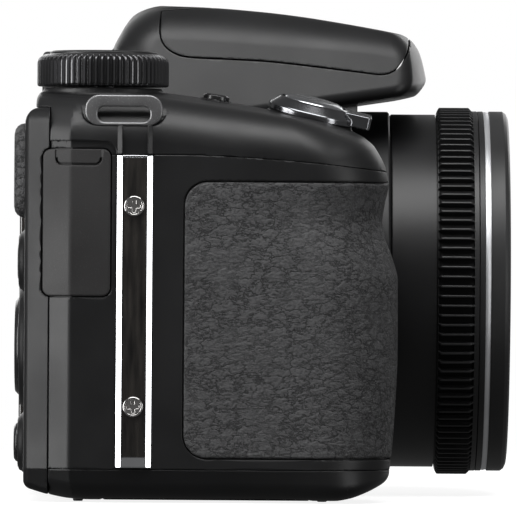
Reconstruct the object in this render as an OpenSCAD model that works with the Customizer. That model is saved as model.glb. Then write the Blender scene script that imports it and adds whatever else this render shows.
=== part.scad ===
// Bridge camera with a fixed power-zoom lens, a viewfinder hump with a lift-up flash,
// a padded hand grip and a mode dial. Millimetres.
// X runs across the body with the hand grip at -X, the lens points along -Y, Z is up.
// The origin is the mouth of the tripod socket, straight below the lens axis.

/* [Body] */
// Wall of the moulded covers
wall = 2; // [1.8:0.1:2.2]
// Thickness of the grained grip skin
skin_t = 0.8; // [0.6:0.1:1]
// Height of the feet below the base
foot_h = 0.5; // [0.4:0.1:0.8]
// How far the trim strip stands out of the side
strip_out = 0.6; // [0.4:0.1:0.8]

/* [Lens] */
// Radius over the ribs of the focus ring
ring_r = 36.6; // [36.2:0.1:36.8]
// Number of ribs round the focus ring
ring_ribs = 120; // [90:2:130]
// Wall of the telescoping barrels
tube_t = 1.3; // [1.1:0.1:1.5]

/* [Controls] */
// Radius over the ribs of the mode dial
dial_r = 12.7; // [12.3:0.1:12.9]
// Number of ribs round the mode dial
dial_ribs = 66; // [54:2:72]
// How far the rear buttons stand out of the rear cover
button_out = 1.3; // [1:0.1:1.6]
// Height of the shutter button above its ring
shutter_out = 1.2; // [0.9:0.1:1.5]

/* [Flash] */
// Open gap round the flash lid
lid_gap = 0.35; // [0.3:0.05:0.4]

/* [Hidden] */
$fn = 72;
e = 0.01;
// lens axis height, and the radii shared by the lens parts
lz = 40;
bore = 32.6;
// parting height between front shell and top cover, at the rear
part_z = 65.8;
// shutter axis: centre on the top cover, forward and outward lean
sh_x = -61; sh_f = 21.6; sh_tilt = 13; sh_lean = 6.5;
// power button and mode dial places
pw_x = -62; pw_f = 3.3; pw_tilt = 8.6;
md_x = -60.5; md_f = -18.5;
// flash lid pivot, forward and height
pv_f = -2; pv_z = 94.1;
// viewfinder dioptre wheel
dp_x = 15.2; dp_f = -23.5; dp_z = 80.5;
// battery door hinge
bd_x = -53.9; bd_z = 0.95;
// port door hinge line
pd_x = -83; pd_z = 38.8;
// zoom gear: module 1, ring and pinion teeth, pinion bearing angle
gt_ring = 72; gt_pin = 12; pin_a = 200;

// ---------- outline helpers ----------
function unit(v) = v / norm(v);
function corner(a, p, b, r, n) =
  r < 0.05 ? [p] :
  let (u = unit(a - p), v = unit(b - p), h = acos(u * v) / 2,
       c = p + unit(u + v) * r / sin(h),
       s = p + u * r / tan(h) - c, t = p + v * r / tan(h) - c,
       a0 = atan2(s.y, s.x), d = (atan2(t.y, t.x) - a0 + 540) % 360 - 180)
  [for (i = [0:n]) c + r * [cos(a0 + d * i / n), sin(a0 + d * i / n)]];
// polygon of [x, y, radius] with its corners rounded
function rounded(p, n = 5) = let (m = len(p))
  [for (i = [0:m - 1]) each corner([p[(i + m - 1) % m].x, p[(i + m - 1) % m].y],
     [p[i].x, p[i].y], [p[(i + 1) % m].x, p[(i + 1) % m].y], p[i][2], n)];
// moves each side of a counter-clockwise outline inward by its own distance
function inset(p, t) = let (m = len(p))
  [for (i = [0:m - 1]) let (h = (i + m - 1) % m, j = (i + 1) % m,
     d0 = unit([p[i].x - p[h].x, p[i].y - p[h].y]), d1 = unit([p[j].x - p[i].x, p[j].y - p[i].y]),
     n0 = [-d0.y, d0.x], n1 = [-d1.y, d1.x], q = [p[i].x, p[i].y],
     k0 = n0 * q + t[h], k1 = n1 * q + t[i], w = n0.x * n1.y - n0.y * n1.x,
     out = d0.x * d1.y - d0.y * d1.x)
   [(k0 * n1.y - k1 * n0.y) / w, (k1 * n0.x - k0 * n1.x) / w,
    out > 0 ? max(p[i][2] - max(t[h], t[i]), 0.3) : p[i][2] + max(t[h], t[i])]];
function same(n, v) = [for (i = [1:n]) v];
// body outline seen from above
PLAN = [[45, 33, 7], [-78, 33, 3], [-83, 24.2, 6], [-82.4, -38.5, 20], [-46.5, -38.5, 13],
        [-44.5, -20, 7], [45, -20, 10]];
function plan(t) = rounded(inset(PLAN, t));
solid0 = same(7, 0);
inner = [2.6, wall, wall, 5.6, 2.2, wall, wall];
// height of the top plate at a forward distance f
function top_z(f) = let (g = max(f + 8, 0)) 78.4 - 0.12 * g - 0.0014 * g * g;
// front of the grip seen from the side: [forward, height]
NOSE = [[37.1, 5.4], [37.4, 8], [38.5, 28], [38.5, 42], [37.4, 46.4], [35.8, 50.6], [35.4, 53.4],
        [35.9, 57], [36.6, 60.7], [36.3, 61.9]];
BROW = [[35.75, 64.4], [34.3, 66.9], [32.8, 69.2]];

module along_x(a, b) translate([a, 0, 0]) rotate([90, 0, 90]) linear_extrude(b - a) children();
module along_y(a, b) translate([0, b, 0]) rotate([90, 0, 0]) linear_extrude(b - a) children();
module up(a, b) translate([0, 0, a]) linear_extrude(b - a) children();
module box(x0, x1, y0, y1, z0, z1) translate([x0, y0, z0]) cube([x1 - x0, y1 - y0, z1 - z0]);
// profile of [radius, forward] turned about the lens axis
module lathe(p) translate([0, 0, lz]) rotate([90, 0, 0]) rotate_extrude() polygon(p);
module rod(r, f0, f1, x = 0, z = lz) translate([x, -f0, z]) rotate([90, 0, 0]) cylinder(r = r, h = f1 - f0);
module rod_x(r, x0, x1, f, z) translate([x0, -f, z]) rotate([0, 90, 0]) cylinder(r = r, h = x1 - x0);
module pole(r, z0, z1, x, y) translate([x, y, z0]) cylinder(r = r, h = z1 - z0);
// rounded plate on the rear face, x/z rectangle with corner radius
module rear_plate(x0, x1, z0, z1, r, y0, y1) along_y(y0, y1)
  polygon(rounded([[x0, z0, r], [x1, z0, r], [x1, z1, r], [x0, z1, r]]));
// place of the shutter stack, z up its axis from the top plate
module at_shutter() translate([sh_x, -sh_f, top_z(sh_f) + 0.1]) rotate([sh_tilt, -sh_lean, 0]) children();
module at_power() translate([pw_x, -pw_f, top_z(pw_f)]) rotate([pw_tilt, 0, 0]) children();

// ---------- grip and shell solids ----------
function nose_line(d) = [for (q = NOSE) [-(q.x - d), q.y]];
module nose_side(d) along_x(-95, 60) polygon(concat([[40, 5.4]], nose_line(d), [[40, 61.9]]));
module shell_side() along_x(-95, 60) polygon(concat([[28.1, 5.9]],
  [for (q = NOSE) [-q.x, max(q.y, 5.9)]], [[-36, 63], [-33, 63.2], [-6, part_z - 0.1], [28.1, part_z - 0.1]]));
module skin_region(g) intersection() {
  along_x(-95, -44.8 - g) polygon(rounded([[-60, 8.1 - g, 0], [2.4 + g, 8.1 - g, 4.5], [2.4 + g, 60.7 + g, 4.5], [-60, 60.7 + g, 0]]));
  box(-95, -44, -60, 10, 0, 70);
  union() { box(-95, -60, -60, 10, 0, 70); box(-61, -40, -60, -27 + g, 0, 70); }
}
module body_block(z0, z1, t) up(z0, z1) polygon(plan(t));
module door_face(g) along_x(-95, -70) polygon(rounded([[16.5 - g, 38.8 - g, 2.5], [29.5 + g, 38.8 - g, 2.5], [29.5 + g, 67.2 + g, 2.5], [16.5 - g, 67.2 + g, 2.5]]));

module front_shell() color("#2a2a2c") difference() {
  intersection() { body_block(5.9, 66, solid0); shell_side(); }
  body_block(5, 67, inner);
  rod(32.8, 10, 30);
  // seat of the grip skin
  difference() {
    intersection() { body_block(8.05, 60.75, same(7, -1)); skin_region(0.05); }
    intersection() { body_block(5, 64, same(7, skin_t + 0.05)); nose_side(skin_t + 0.05); }
  }
  // seat of the trim strip, port door and the opening behind it
  along_x(-90, -82.2) polygon([[8.4, 6.1], [15.4, 6.1], [15.4, 65.9], [8.4, 65.9]]);
  intersection() { door_face(0.3); difference() { body_block(30, 66, same(7, -1)); body_block(29, 67, same(7, 1.5)); } }
  box(-90, -78, 18.6, 24.4, 42, 62);
  for (z = [56, 17.8]) rod_x(1.05, -90, -75, -12, z);
  // lamp window
  rod(2.65, 10, 30, 38.2, 62.2 - 4);
}

module grip_skin() color("#48484a") difference() {
  intersection() { body_block(8.1, 60.7, solid0); skin_region(0); nose_side(0); }
  intersection() { body_block(5, 64, same(7, skin_t)); nose_side(skin_t); }
  body_block(5, 66, [2.6, 5, 5, 5.6, 5, 5, 5]);
}

module top_solid(d) intersection() {
  body_block(60, 82, [d, d, d, d, d, d, d]);
  along_x(-95, 60) polygon(concat([[-36.2 + d, 63.05 - d]],
    [for (q = BROW) [-(q.x - d), q.y - d]],
    [for (f = [31:-3:-26]) [-f, top_z(f) - d]],
    [[29.6 - d, 78.2 - d], [31 - d, 76.6 - d], [31 - d, 73.5 - d], [28.1 - d, 73.5 - d], [28.1 - d, part_z + 0.1 - d], [-6, part_z + 0.1 - d], [-33, 63.4 - d]]));
  along_y(-60, 50) polygon(concat([[-84, 60], [-84, 68.5]],
    [for (a = [0:15:90]) [-73 - (10 - d) * cos(a), 68.4 + (10.2 - d) * sin(a)]],
    [for (a = [90:-15:0]) [37 + (8 - d) * cos(a), 69 + (9.6 - d) * sin(a)]], [[46, 69], [46, 60]]));
}
module top_cover() color("#2a2a2c") difference() {
  union() {
    difference() {
      top_solid(0);
      intersection() { top_solid(2.2); box(-76, 60, -31, 26, 60, 90); }
      // leaning seat under the zoom lever
      at_shutter() translate([-60, -60, -0.4]) cube([120, 120, 40]);
    }
    pole(11.4, 78.2, 78.75, md_x, -md_f);
    at_shutter() translate([0, 0, -1.6]) cylinder(r = 5.9, h = 2.3);
  }
  pole(3.1, 60, 90, md_x, -md_f);
  rod(32.8, 10, 30);
  at_shutter() translate([0, 0, -12]) cylinder(r = 2.15, h = 20);
  at_power() translate([0, 0, -12]) cylinder(r = 2.85, h = 20);
  // well under the viewfinder hump and notch for its eyepiece
  box(-22, 22, -16, 19, 60, 90);
  box(-16.4, 16.4, 18.9, 40, 60, 90);
  // niches of the strap lugs
  box(-90, -80.2, 5.8, 22.4, 71.4, 90);
  box(-82.65, -80.4, 6.6, 21.6, 68.2, 72);
  box(42.2, 60, 5.8, 22.4, 71.4, 90);
  box(42.6, 44.65, 6.6, 21.6, 68.2, 72);
  // top of the port door and the trim strip
  intersection() { door_face(0.3); difference() { body_block(60, 70, same(7, -1)); body_block(59, 71, same(7, 1.5)); } }
  along_x(-90, -82.2) polygon([[8.4, 6.1], [15.4, 6.1], [15.4, 65.9], [8.4, 65.9]]);
}

module rear_cover() color("#2a2a2c") difference() {
  intersection() {
    body_block(0.9, 73.2, solid0);
    along_x(-95, 60) polygon(rounded([[28.3, 0.9, 0], [33, 1.6, 2], [33, 73.2, 2.5], [28.3, 73.2, 0]]));
  }
  difference() { body_block(2.9, 71.2, inner); box(-95, 60, -60, 20, 0, 90); }
  // display opening
  box(-27, 37, 20, 40, 17, 62);
  // buttons
  for (q = rear_buttons) rod(q[2] + 0.3, -40, -20, q[0], q[1]);
  rod(9.75, -40, -31.6, -57, 29);
  rod(5, -40, -20, -57, 29);
  // seat of the thumb rest
  rear_plate(-76.3, -59.7, 53.4, 72.1, 4.2, 32.2, 40);
  // port door
  intersection() { door_face(0.3); difference() { body_block(30, 75, same(7, -1)); body_block(29, 76, same(7, 1.5)); } }
}
// [x, z, radius] of the round rear buttons: menu, play, delete, record
rear_buttons = [[-66.5, 45.4, 4], [-66.5, 10.6, 3.8], [-46.5, 10.6, 3.8], [-46.5, 63, 3.4]];

module base_cover() color("#252527") difference() {
  intersection() {
    body_block(-1, 5.7, solid0);
    along_x(-95, 60) polygon([[28.1, 0.9], [24, 0.15], [20, 0], [-27.8, 0], [-29.4, 0.4], [-32.4, 1.5], [-35.5, 3], [-36.6, 3.9], [-37.1, 5.7], [28.1, 5.7]]);
    along_y(-60, 60) polygon([[-83.2, 5.8], [-83.2, 3.2], [-82.2, 1.4], [-80.4, 0.3], [-78.9, 0], [40, 0], [43, 1], [45.2, 3.5], [45.2, 5.8]]);
  }
  difference() { body_block(2, 8, inner); box(-95, 60, -60, -30, 0, 3.6); }
  // battery door opening with the hinge pin's holes
  box(-78.7, bd_x + 1.3, -22, 18, -1, 4);
  rod(0.43, -20.5, 24.5, bd_x, bd_z);
  pole(6.55, -1, 4, 0, 0);
  for (q = base_holes) { pole(1.1, -1, 4, q.x, q.y); pole(2.1, -1, 0.9, q.x, q.y); }
  for (q = foot_at) pole(1.05, -1, 0.8, q.x, q.y);
}
base_holes = [[-30, 22], [36, 22], [36, -13], [-36, -14]];
foot_at = [[-70, 22.6], [-66, -24.2], [33, 23], [30, -14.5]];
module base_screws() color("#8d8f92") for (q = base_holes) difference() {
  union() { pole(1.95, 0.15, 0.85, q.x, q.y); pole(1, 0.5, 6, q.x, q.y); }
  for (a = [0, 90]) translate([q.x, q.y, 0]) rotate(a) cube([2.4, 0.5, 1], center = true);
}
module feet() color("#1b1b1c") for (q = foot_at) union() { pole(1, 0.4 - e, 0.75, q.x, q.y); pole(0.95, -foot_h, 0.4, q.x, q.y); }
module tripod_socket() color("#b9bbbe") difference() {
  union() { pole(6.5, 0, 7.2, 0, 0); pole(8, 2.05, 3.4, 0, 0); }
  pole(3.175, -1, 6, 0, 0);
}

// ---------- grip side trim ----------
module side_strip() color("#1a1a1c") difference() {
  along_y(8.5, 15.3) polygon([[-82.25, 6.2], [-82.25, 65.7], [-82.9 - strip_out * 0.3, 65.7], [-82.95 - strip_out, 64.6], [-82.95 - strip_out, 7.4], [-82.9 - strip_out * 0.3, 6.2]]);
  for (z = [56, 17.8]) rod_x(1.05, -90, -75, -12, z);
}
module strip_screws() color("#707276") for (z = [56, 17.8]) difference() {
  union() { rod_x(1.95, -83.65 - strip_out, -83 - strip_out, -12, z); rod_x(0.95, -83.1 - strip_out, -77.5, -12, z); }
  for (a = [0, 90]) translate([-83.7 - strip_out, 12, z]) rotate([a, 0, 0]) cube([0.8, 0.55, 2.5], center = true);
}
module lug(x0, x1) along_x(x0, x1) difference() {
  polygon(rounded([[6.7, 68.3, 0.6], [21.5, 68.3, 0.6], [21.5, 74.4, 2.6], [19.2, 77.2, 2.4], [9, 77.2, 2.4], [6.7, 74.4, 2.6]]));
  polygon(rounded([[9.1, 72, 1.2], [19.1, 72, 1.2], [19.1, 74.85, 1.2], [9.1, 74.85, 1.2]]));
}
module strap_lugs() color("#8a8c8f") { lug(-82.55, -80.95); lug(42.95, 44.55); }
module port_door() color("#303032") difference() {
  union() {
    intersection() { door_face(0); difference() { body_block(30, 70, solid0); body_block(29, 71, same(7, 1.2)); } }
    // plug block on the inner face
    box(-81.9, -79.6, 19.2, 23.8, 43, 61);
  }
  // finger scoop at the top
  rod_x(9.5, -95, -82.45, -22.5, 73.6);
}
module usb_socket() color("#a5a7aa") difference() {
  union() { box(-79.2, -74, 18.9, 24.1, 47, 56.4); box(-77, -75.6, 18.5, 24.5, 44, 60); }
  rod_x(1.6, -80, -75, -21.5, 49.2); rod_x(1.6, -80, -75, -21.5, 54.2);
  box(-80, -75, 19.9, 23.1, 49.2, 54.2);
}

// ---------- viewfinder hump and flash ----------
HUMP = [[-17.7, 87.5], [-16.2, 90.6], [-14.2, 93.7], [-12.4, 95.3], [-10.5, 96.5], [0.45, 96.2], [11.7, 95.4], [19.7, 94.5], [27.6, 93.3],
        [35.7, 91.9], [40.5, 90.9], [41.3, 90.1], [43.7, 87.3], [45, 81.2], [44.6, 80], [42.6, 79], [31, 77.3]];
LID = [[-7, 99], [-7.75, 94.1], [-7.9, 90.6], [-7.2, 88.4], [-5.6, 86.9], [-2.5, 85.9], [15, 85], [31.1, 83.2], [35.2, 82.7], [37.6, 83.2], [39.4, 84.7], [40.6, 86.8], [41.1, 89], [41.3, 99]];
module hump_solid() {
  intersection() {
    along_x(-40, 40) polygon(concat([for (q = HUMP) [-q.x, q.y]], [for (f = [20.05:-3.15:-17]) [-f, top_z(f) + 0.1]], [[17.7, 78.5]]));
    along_y(-60, 40) polygon(concat([[-30.2, 60], [30.2, 60], [30.2, 77], [24.5, 90], [22.7, 93.4], [19.4, 95.4], [13, 96.4], [0, 96.7]],
      [[-13, 96.4], [-19.4, 95.4], [-22.7, 93.4], [-24.5, 90], [-30.2, 77]]));
    up(50, 100) polygon([[31, 22], [31, -12], [27.2, -38], [24, -41.3], [15, -43.9], [0, -45], [-15, -43.9], [-24, -41.3], [-27.2, -38], [-31, -12], [-31, 22]]);
  }
  // neck down to the lens collar
  box(-26.5, 26.5, -31, -20.1, 60, 78.4);
}
module lid_zone(g) along_x(-40, 40) polygon([for (q = inset([for (p = LID) [-p.x, p.y, 0]], same(len(LID), g))) [q.x, q.y]]);
// fixed tongue between the lid's two hinge arms
module tongue(g) up(60, 100) polygon([[-17.5 - g, 14], [-17.2 - g, 2.5], [-14.5 - g, -0.8 - g], [-10, -2 - g], [10, -2 - g], [14.5 + g, -0.8 - g], [17.2 + g, 2.5], [17.5 + g, 14]]);
module viewfinder_housing() color("#2e2e30") difference() {
  union() {
    difference() {
      hump_solid();
      difference() { lid_zone(lid_gap); tongue(0); }
      rod(35.75, 15, 50);
      // hollows: below the flash, in the neck, and the viewfinder tunnel
      along_x(-22.5, 22.5) polygon([[-19, 70], [-19, 82.4], [15.5, 84], [15.5, 70]]);
      along_x(-18, 18) polygon([[-38, 81], [-22, 82.2], [-22, 80.2], [-38, 79.8]]);
      box(-11, 11, 5, 40, 76, 84);
    }
    // eyepiece block
    difference() {
      along_x(-16, 16) polygon(rounded([[15.6, 73.4, 0], [28.9, 73.4, 1], [28.9, 87.2, 2.5], [15.6, 87.2, 0]]));
      box(-11, 11, 5, 40, 75.5, 85);
    }
  }
  // hinge pin holes, flash release button, dioptre wheel slot
  rod_x(0.72, -30, 30, pv_f, pv_z);
  rod_x(2.75, 20, 33, 4, 79.7);
  rod_x(5.2, 12.4, 17, dp_f, dp_z);
  rod_x(1.05, 11, 17, dp_f, dp_z);
}
module flash_pins() color("#b0b2b5") for (s = [-1, 1]) rod_x(0.7, s > 0 ? 13 : -19.6, s > 0 ? 19.6 : -13, pv_f, pv_z);
module flash_lid() color("#2e2e30") difference() {
  intersection() { hump_solid(); lid_zone(0); }
  tongue(lid_gap + 0.25);
  along_x(-20.5, 20.5) polygon([[-4.6, 80], [-4.6, 93], [-19.7, 91.8], [-37, 88.6], [-37, 80]]);
  rod_x(0.76, -19.9, 19.9, pv_f, pv_z);
  // window of the flash
  box(-15.6, 15.6, -45, -36, 84.4, 88);
}
module flash_head() color("#d8d8d4") difference() {
  box(-16.5, 16.5, -36.6, -27, 84.2, 88.4);
  along_x(-14.5, 14.5) polygon([[-37, 84.7], [-30.2, 85.6], [-28.6, 86.3], [-30.2, 87], [-37, 87.9]]);
}
module flash_window() color("#dfe6ea") difference() { box(-15.3, 15.3, -38.6, -36.75, 84.7, 87.7); for (z = [85.2:0.5:87.2]) box(-14.6, 14.6, -38.7, -38.45, z, z + 0.2); }
module flash_button() color("#3a3a3c") union() { rod_x(2.45, 24.3, 29.6, 4, 79.7); rod_x(3.1, 20, 21.2, 4, 79.7); rod_x(1.6, 20, 26, 4, 79.7); }
module eyecup() color("#1c1c1d") difference() {
  rear_plate(-15.6, 15.6, 74.2, 87, 3.2, 29, 31.4);
  rear_plate(-10.4, 10.4, 76.2, 84.6, 2, 20, 40);
}
module eyepiece_lens() color("#5a6a78") rear_plate(-10.8, 10.8, 75.7, 84.8, 1, 26, 28.4);
module dioptre_dial() color("#3a3a3c") union() {
  translate([12.8, -dp_f, dp_z]) rotate([0, 90, 0]) linear_extrude(3.6) polygon([for (i = [0:35]) (i % 2 ? 4.75 : 4.45) * [cos(i * 10), sin(i * 10)]]);
  rod_x(1, 11.3, 13, dp_f, dp_z);
}

// ---------- top controls ----------
module mode_dial() color("#262628") difference() {
  union() {
    up(79.1, 84.9) translate([md_x, -md_f]) polygon([for (i = [0:dial_ribs - 1], k = [0:3])
      (k == 0 || k == 3 ? dial_r - 0.45 : dial_r) * [cos((i + [0, 0.2, 0.65, 0.85][k]) * 360 / dial_ribs), sin((i + [0, 0.2, 0.65, 0.85][k]) * 360 / dial_ribs)]]);
    pole(dial_r - 0.7, 84.8, 85.4, md_x, -md_f);
    pole(3, 68, 80, md_x, -md_f);
    pole(5.4, 70.6, 71.6, md_x, -md_f);
  }
  pole(10.4, 85, 86, md_x, -md_f);
}
module dial_cap() color("#4a4a4c") union() { pole(10.3, 85.02, 85.8, md_x, -md_f); pole(9.7, 85.7, 86, md_x, -md_f); }
module zoom_lever() color("#3c3d40") at_shutter() difference() {
  union() {
    cylinder(r = 8.5, h = 2.2);
    translate([0, 0, 2.2 - e]) cylinder(r1 = 8.5, r2 = 7.7, h = 0.7);
    // thumb tab to the front
    linear_extrude(2.6) polygon(rounded([[-4.4, 0, 0], [-3.2, -12, 1], [3.2, -12, 1], [4.4, 0, 0]]));
  }
  translate([0, 0, -1]) cylinder(r = 6.25, h = 6);
}
module shutter_button() color("#9a9ca0") at_shutter() union() {
  translate([0, 0, 2.1]) cylinder(r = 5.9, h = 0.8 + shutter_out * 0.5);
  translate([0, 0, 2.9 + shutter_out * 0.5 - e]) cylinder(r1 = 5.9, r2 = 4.6, h = shutter_out * 0.5);
  translate([0, 0, -6]) cylinder(r = 2, h = 8.5);
  translate([0, 0, -6]) cylinder(r = 3.4, h = 0.8);
}
module power_button() color("#3a3a3c") at_power() union() {
  translate([0, 0, -6]) cylinder(r = 2.55, h = 6.5);
  translate([0, 0, 0.5 - e]) cylinder(r1 = 2.55, r2 = 2.1, h = 0.4);
  translate([0, 0, -6]) cylinder(r = 3.6, h = 0.9);
}

// ---------- rear ----------
module thumb_rest() color("#262627") union() {
  rear_plate(-76, -60, 53.7, 71.8, 4, 32.25, 33.6);
  rear_plate(-75.4, -60.6, 54.3, 71.2, 3.4, 33.6 - e, 34.5);
  rear_plate(-74.4, -61.6, 55.3, 70.2, 2.6, 34.5 - e, 35.2);
}
module lcd_frame() color("#1d1d1f") difference() {
  union() { rear_plate(-33, 42, 4.2, 71, 2.5, 33.05, 34.6); rear_plate(-32.4, 41.4, 5.2, 70.4, 2.2, 34.6 - e, 35.2); }
  rear_plate(-29.3, 39.3, 14.4, 64.6, 1, 33.8, 40);
  rear_plate(-27, 37, 17, 62, 0.6, 30, 40);
}
module lcd_window() color("#101316") rear_plate(-29.1, 39.1, 14.6, 64.4, 0.9, 33.85, 35.1);
module lcd_module() color("#3a4048") union() { box(-28.5, 38.5, 26.6, 30.2, 15, 63.5); box(-26.6, 36.6, 30, 33.6, 17.4, 61.6); }
module rear_button(q, d = 0) union() {
  rod(q[2], -33 - button_out, -29.2, q[0], q[1]);
  rod(q[2] - 0.5, -33.25 - button_out, -32 - button_out, q[0], q[1]);
  rod(q[2] + 1, -29.7, -28.7, q[0], q[1]);
}
module menu_button() color("#3a3a3c") rear_button(rear_buttons[0]);
module play_button() color("#3a3a3c") rear_button(rear_buttons[1]);
module delete_button() color("#3a3a3c") rear_button(rear_buttons[2]);
module record_button() color("#8f2a26") rear_button(rear_buttons[3]);
module nav_pad() color("#333335") difference() {
  union() { rod(9.4, -34.9, -32.3, -57, 29); rod(8.7, -35.2, -34.8, -57, 29); rod(4.6, -32.5, -29.5, -57, 29); }
  rod(3.9, -40, -20, -57, 29);
}
module set_button() color("#3c3c3e") union() { rod(3.6, -35.1, -26.8, -57, 29); rod(5, -27.2, -26.4, -57, 29); }

// ---------- lens ----------
module lens_collar() color("#232325") lathe([[bore, 20.05], [34.9, 20.05], [35.5, 20.6], [35.5, 37.2], [35.1, 37.6], [bore, 37.6]]);
module outer_barrel() color("#1d1d1f") lathe([[bore, 37.65], [34.6, 37.65], [34.9, 37.95], [34.9, 46.7], [33.9, 46.7], [33.9, 56.2], [bore, 56.2]]);
module focus_ring() color("#2b2b2d") translate([0, 0, lz]) rotate([90, 0, 0]) difference() {
  union() {
    translate([0, 0, 47.9]) linear_extrude(6.3) polygon([for (i = [0:ring_ribs - 1], k = [0:3])
      (k == 0 || k == 3 ? ring_r - 0.5 : ring_r) * [cos((i + [0, 0.2, 0.6, 0.8][k]) * 360 / ring_ribs), sin((i + [0, 0.2, 0.6, 0.8][k]) * 360 / ring_ribs)]]);
    translate([0, 0, 47]) cylinder(r1 = 35.4, r2 = ring_r - 0.6, h = 0.9 + e);
    translate([0, 0, 54.2 - e]) cylinder(r1 = ring_r - 0.6, r2 = 35.6, h = 0.9);
  }
  translate([0, 0, 40]) cylinder(r = 33.97, h = 20);
}
module nose_ring() color("#232325") lathe([[33.96, 55.45], [35.9, 55.45], [35.9, 56.25], [35.15, 56.25], [35.15, 60], [bore, 60], [bore, 56.3], [33.96, 56.3]]);
module trim_ring() color("#c9cbce") lathe([[35.18, 56.3], [35.65, 56.3], [35.65, 57.35], [35.18, 57.35]]);
module front_bezel() color("#1d1d1f") lathe([[35.18, 57.4], [35.9, 57.4], [35.9, 59.6], [35.3, 60.6], [34.4, 61.2], [33.4, 61.2], [bore, 60.5], [bore, 60.05], [35.18, 60.05]]);
module middle_barrel() color("#232325") lathe([[32 - tube_t, 16], [32, 16], [32, 58.1], [31.7, 58.4], [32 - tube_t, 58.4]]);
module inner_barrel() color("#1f1f21") lathe([[28.4, 16.8], [30.1, 16.8], [30.1, 57], [28.4, 57]]);
module front_retainer() color("#18181a") lathe([[26, 57.05], [30.1, 57.05], [30.1, 59.4], [29.7, 59.8], [28.6, 59.8], [26, 57.9]]);
module front_element() color("#46566a") lathe([[0, 48.5], [28.2, 50.5], [28.2, 53.4], [25.6, 54.4], [21, 55.7], [15, 56.7], [8, 57.3], [0, 57.5]]);
module lens_base() color("#303033") lathe([[10, -18], [32.5, -18], [32.5, 14.4], [30, 14.4], [30, 0], [14, 0], [14, -3], [30, -3], [30, -15.9], [10, -15.9]]);
module rear_lens_group() color("#46566a") lathe([[0, -1.5], [8, -0.8], [13.8, 0.05], [16, 0.05], [16, 4], [12, 6.2], [6, 7.4], [0, 7.8]]);
module image_sensor() color("#3d5a4a") union() { box(-8, 8, 18.4, 20.2, 34, 46); box(-15, 15, 20.1, 21.4, 28, 52); }
module main_board() color("#2f5b3c") union() {
  box(-50, 40, 22.6, 24.2, 8, 62);
  box(-20, -4, 24.1, 25.8, 40, 56); box(6, 18, 24.1, 25.4, 20, 32);
}
module battery() color("#3b4a5c") box(-75.1, -58.5, -18.6, 14.6, 2.7, 44);
module battery_bay() color("#3a3a3d") difference() { box(-77, -56.6, -21.2, 17.2, 2.1, 47); box(-75.8, -57.8, -20, 16, 0, 45.6); }
module zoom_motor() color("#8c8e92") union() {
  rod(6.2, -14, 7.6, lens_px, lens_pz);
  rod(1.4, 7.5, 14.2, lens_px, lens_pz);
}
lens_px = cos(pin_a) * (gt_ring + gt_pin) / 2;
lens_pz = lz + sin(pin_a) * (gt_ring + gt_pin) / 2;
// involute tooth flank: point at radius r on a gear of base radius b
function inv(b, r) = let (t = sqrt(max(r * r / (b * b) - 1, 0))) t * 180 / PI - atan(t);
function half_tooth(n, r) = let (p = n / 2, b = p * cos(20)) 90 / n - 0.11 * 180 / PI / p + inv(b, p) - inv(b, max(r, b));
function tooth(n, a, rs) = concat([for (r = rs) r * [cos(a - half_tooth(n, r)), sin(a - half_tooth(n, r))]],
  [for (i = [len(rs) - 1:-1:0]) rs[i] * [cos(a + half_tooth(n, rs[i])), sin(a + half_tooth(n, rs[i]))]]);
// toothed sector: at rest it spans from the pinion round below the lens
module cam_ring() color("#c2b280") translate([0, 0, lz]) rotate([90, 0, 0]) difference() {
  translate([0, 0, 9]) union() {
    cylinder(r = 33.6, h = 4);
    linear_extrude(4) polygon(concat([for (i = [13:-1:-2]) 30 * [cos(pin_a + i * 5), sin(pin_a + i * 5)]],
      [for (i = [-2:13]) each tooth(gt_ring, pin_a + i * 5, [34.75, 35.4, 36, 36.8])]));
  }
  cylinder(r = 32.56, h = 30);
}
module zoom_pinion() color("#d8d4c4") translate([lens_px, 0, lens_pz]) rotate([90, 0, 0]) difference() {
  translate([0, 0, 8.6]) linear_extrude(4.8) polygon([for (i = [0:gt_pin - 1]) each tooth(gt_pin, pin_a + 180 + 15 + i * 30, [4.7, 5.3, 6, 6.8])]);
  cylinder(r = 1.44, h = 30);
}

// ---------- base parts ----------
module door_pin() color("#b0b2b5") rod(0.4, -20.4, 24.4, bd_x, bd_z);
module battery_door() color("#252527") difference() {
  union() { box(-78.4, bd_x, -21.7, 17.7, 0, 1.9); rod(0.95, -17.7, 21.7, bd_x, bd_z); }
  rod(0.45, -30, 30, bd_x, bd_z);
  // slot of the latch
  box(-77, -67.6, -5.4, 1.4, -1, 1.05);
}
module battery_latch() color("#3a3a3c") difference() {
  box(-76.7, -70.5, -5.1, 1.1, 0.05, 0.9);
  for (x = [-75.6:1.2:-71.6]) box(x, x + 0.5, -4.6, 0.6, -1, 0.3);
}
module af_lamp() color("#d9a05a") rod(2.55, 18.2, 20.1, 38.2, 58.2);

front_shell();
rear_cover();
top_cover();
base_cover();
viewfinder_housing();
grip_skin();
side_strip();
strip_screws();
strap_lugs();
usb_socket();
thumb_rest();
lcd_frame();
lcd_window();
lcd_module();
eyecup();
eyepiece_lens();
tripod_socket();
feet();
base_screws();
lens_collar();
outer_barrel();
nose_ring();
trim_ring();
front_bezel();
lens_base();
rear_lens_group();
image_sensor();
main_board();
battery();
battery_bay();
flash_pins();
zoom_motor();
door_pin();
af_lamp();
mode_dial();
dial_cap();
shutter_button();
zoom_lever();
power_button();
flash_lid();
flash_head();
flash_window();
flash_button();
focus_ring();
middle_barrel();
inner_barrel();
front_retainer();
front_element();
cam_ring();
zoom_pinion();
port_door();
battery_door();
battery_latch();
dioptre_dial();
nav_pad();
set_button();
menu_button();
play_button();
delete_button();
record_button();
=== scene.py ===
import math

import bpy
import numpy as np
from mathutils import Matrix, Vector


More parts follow.
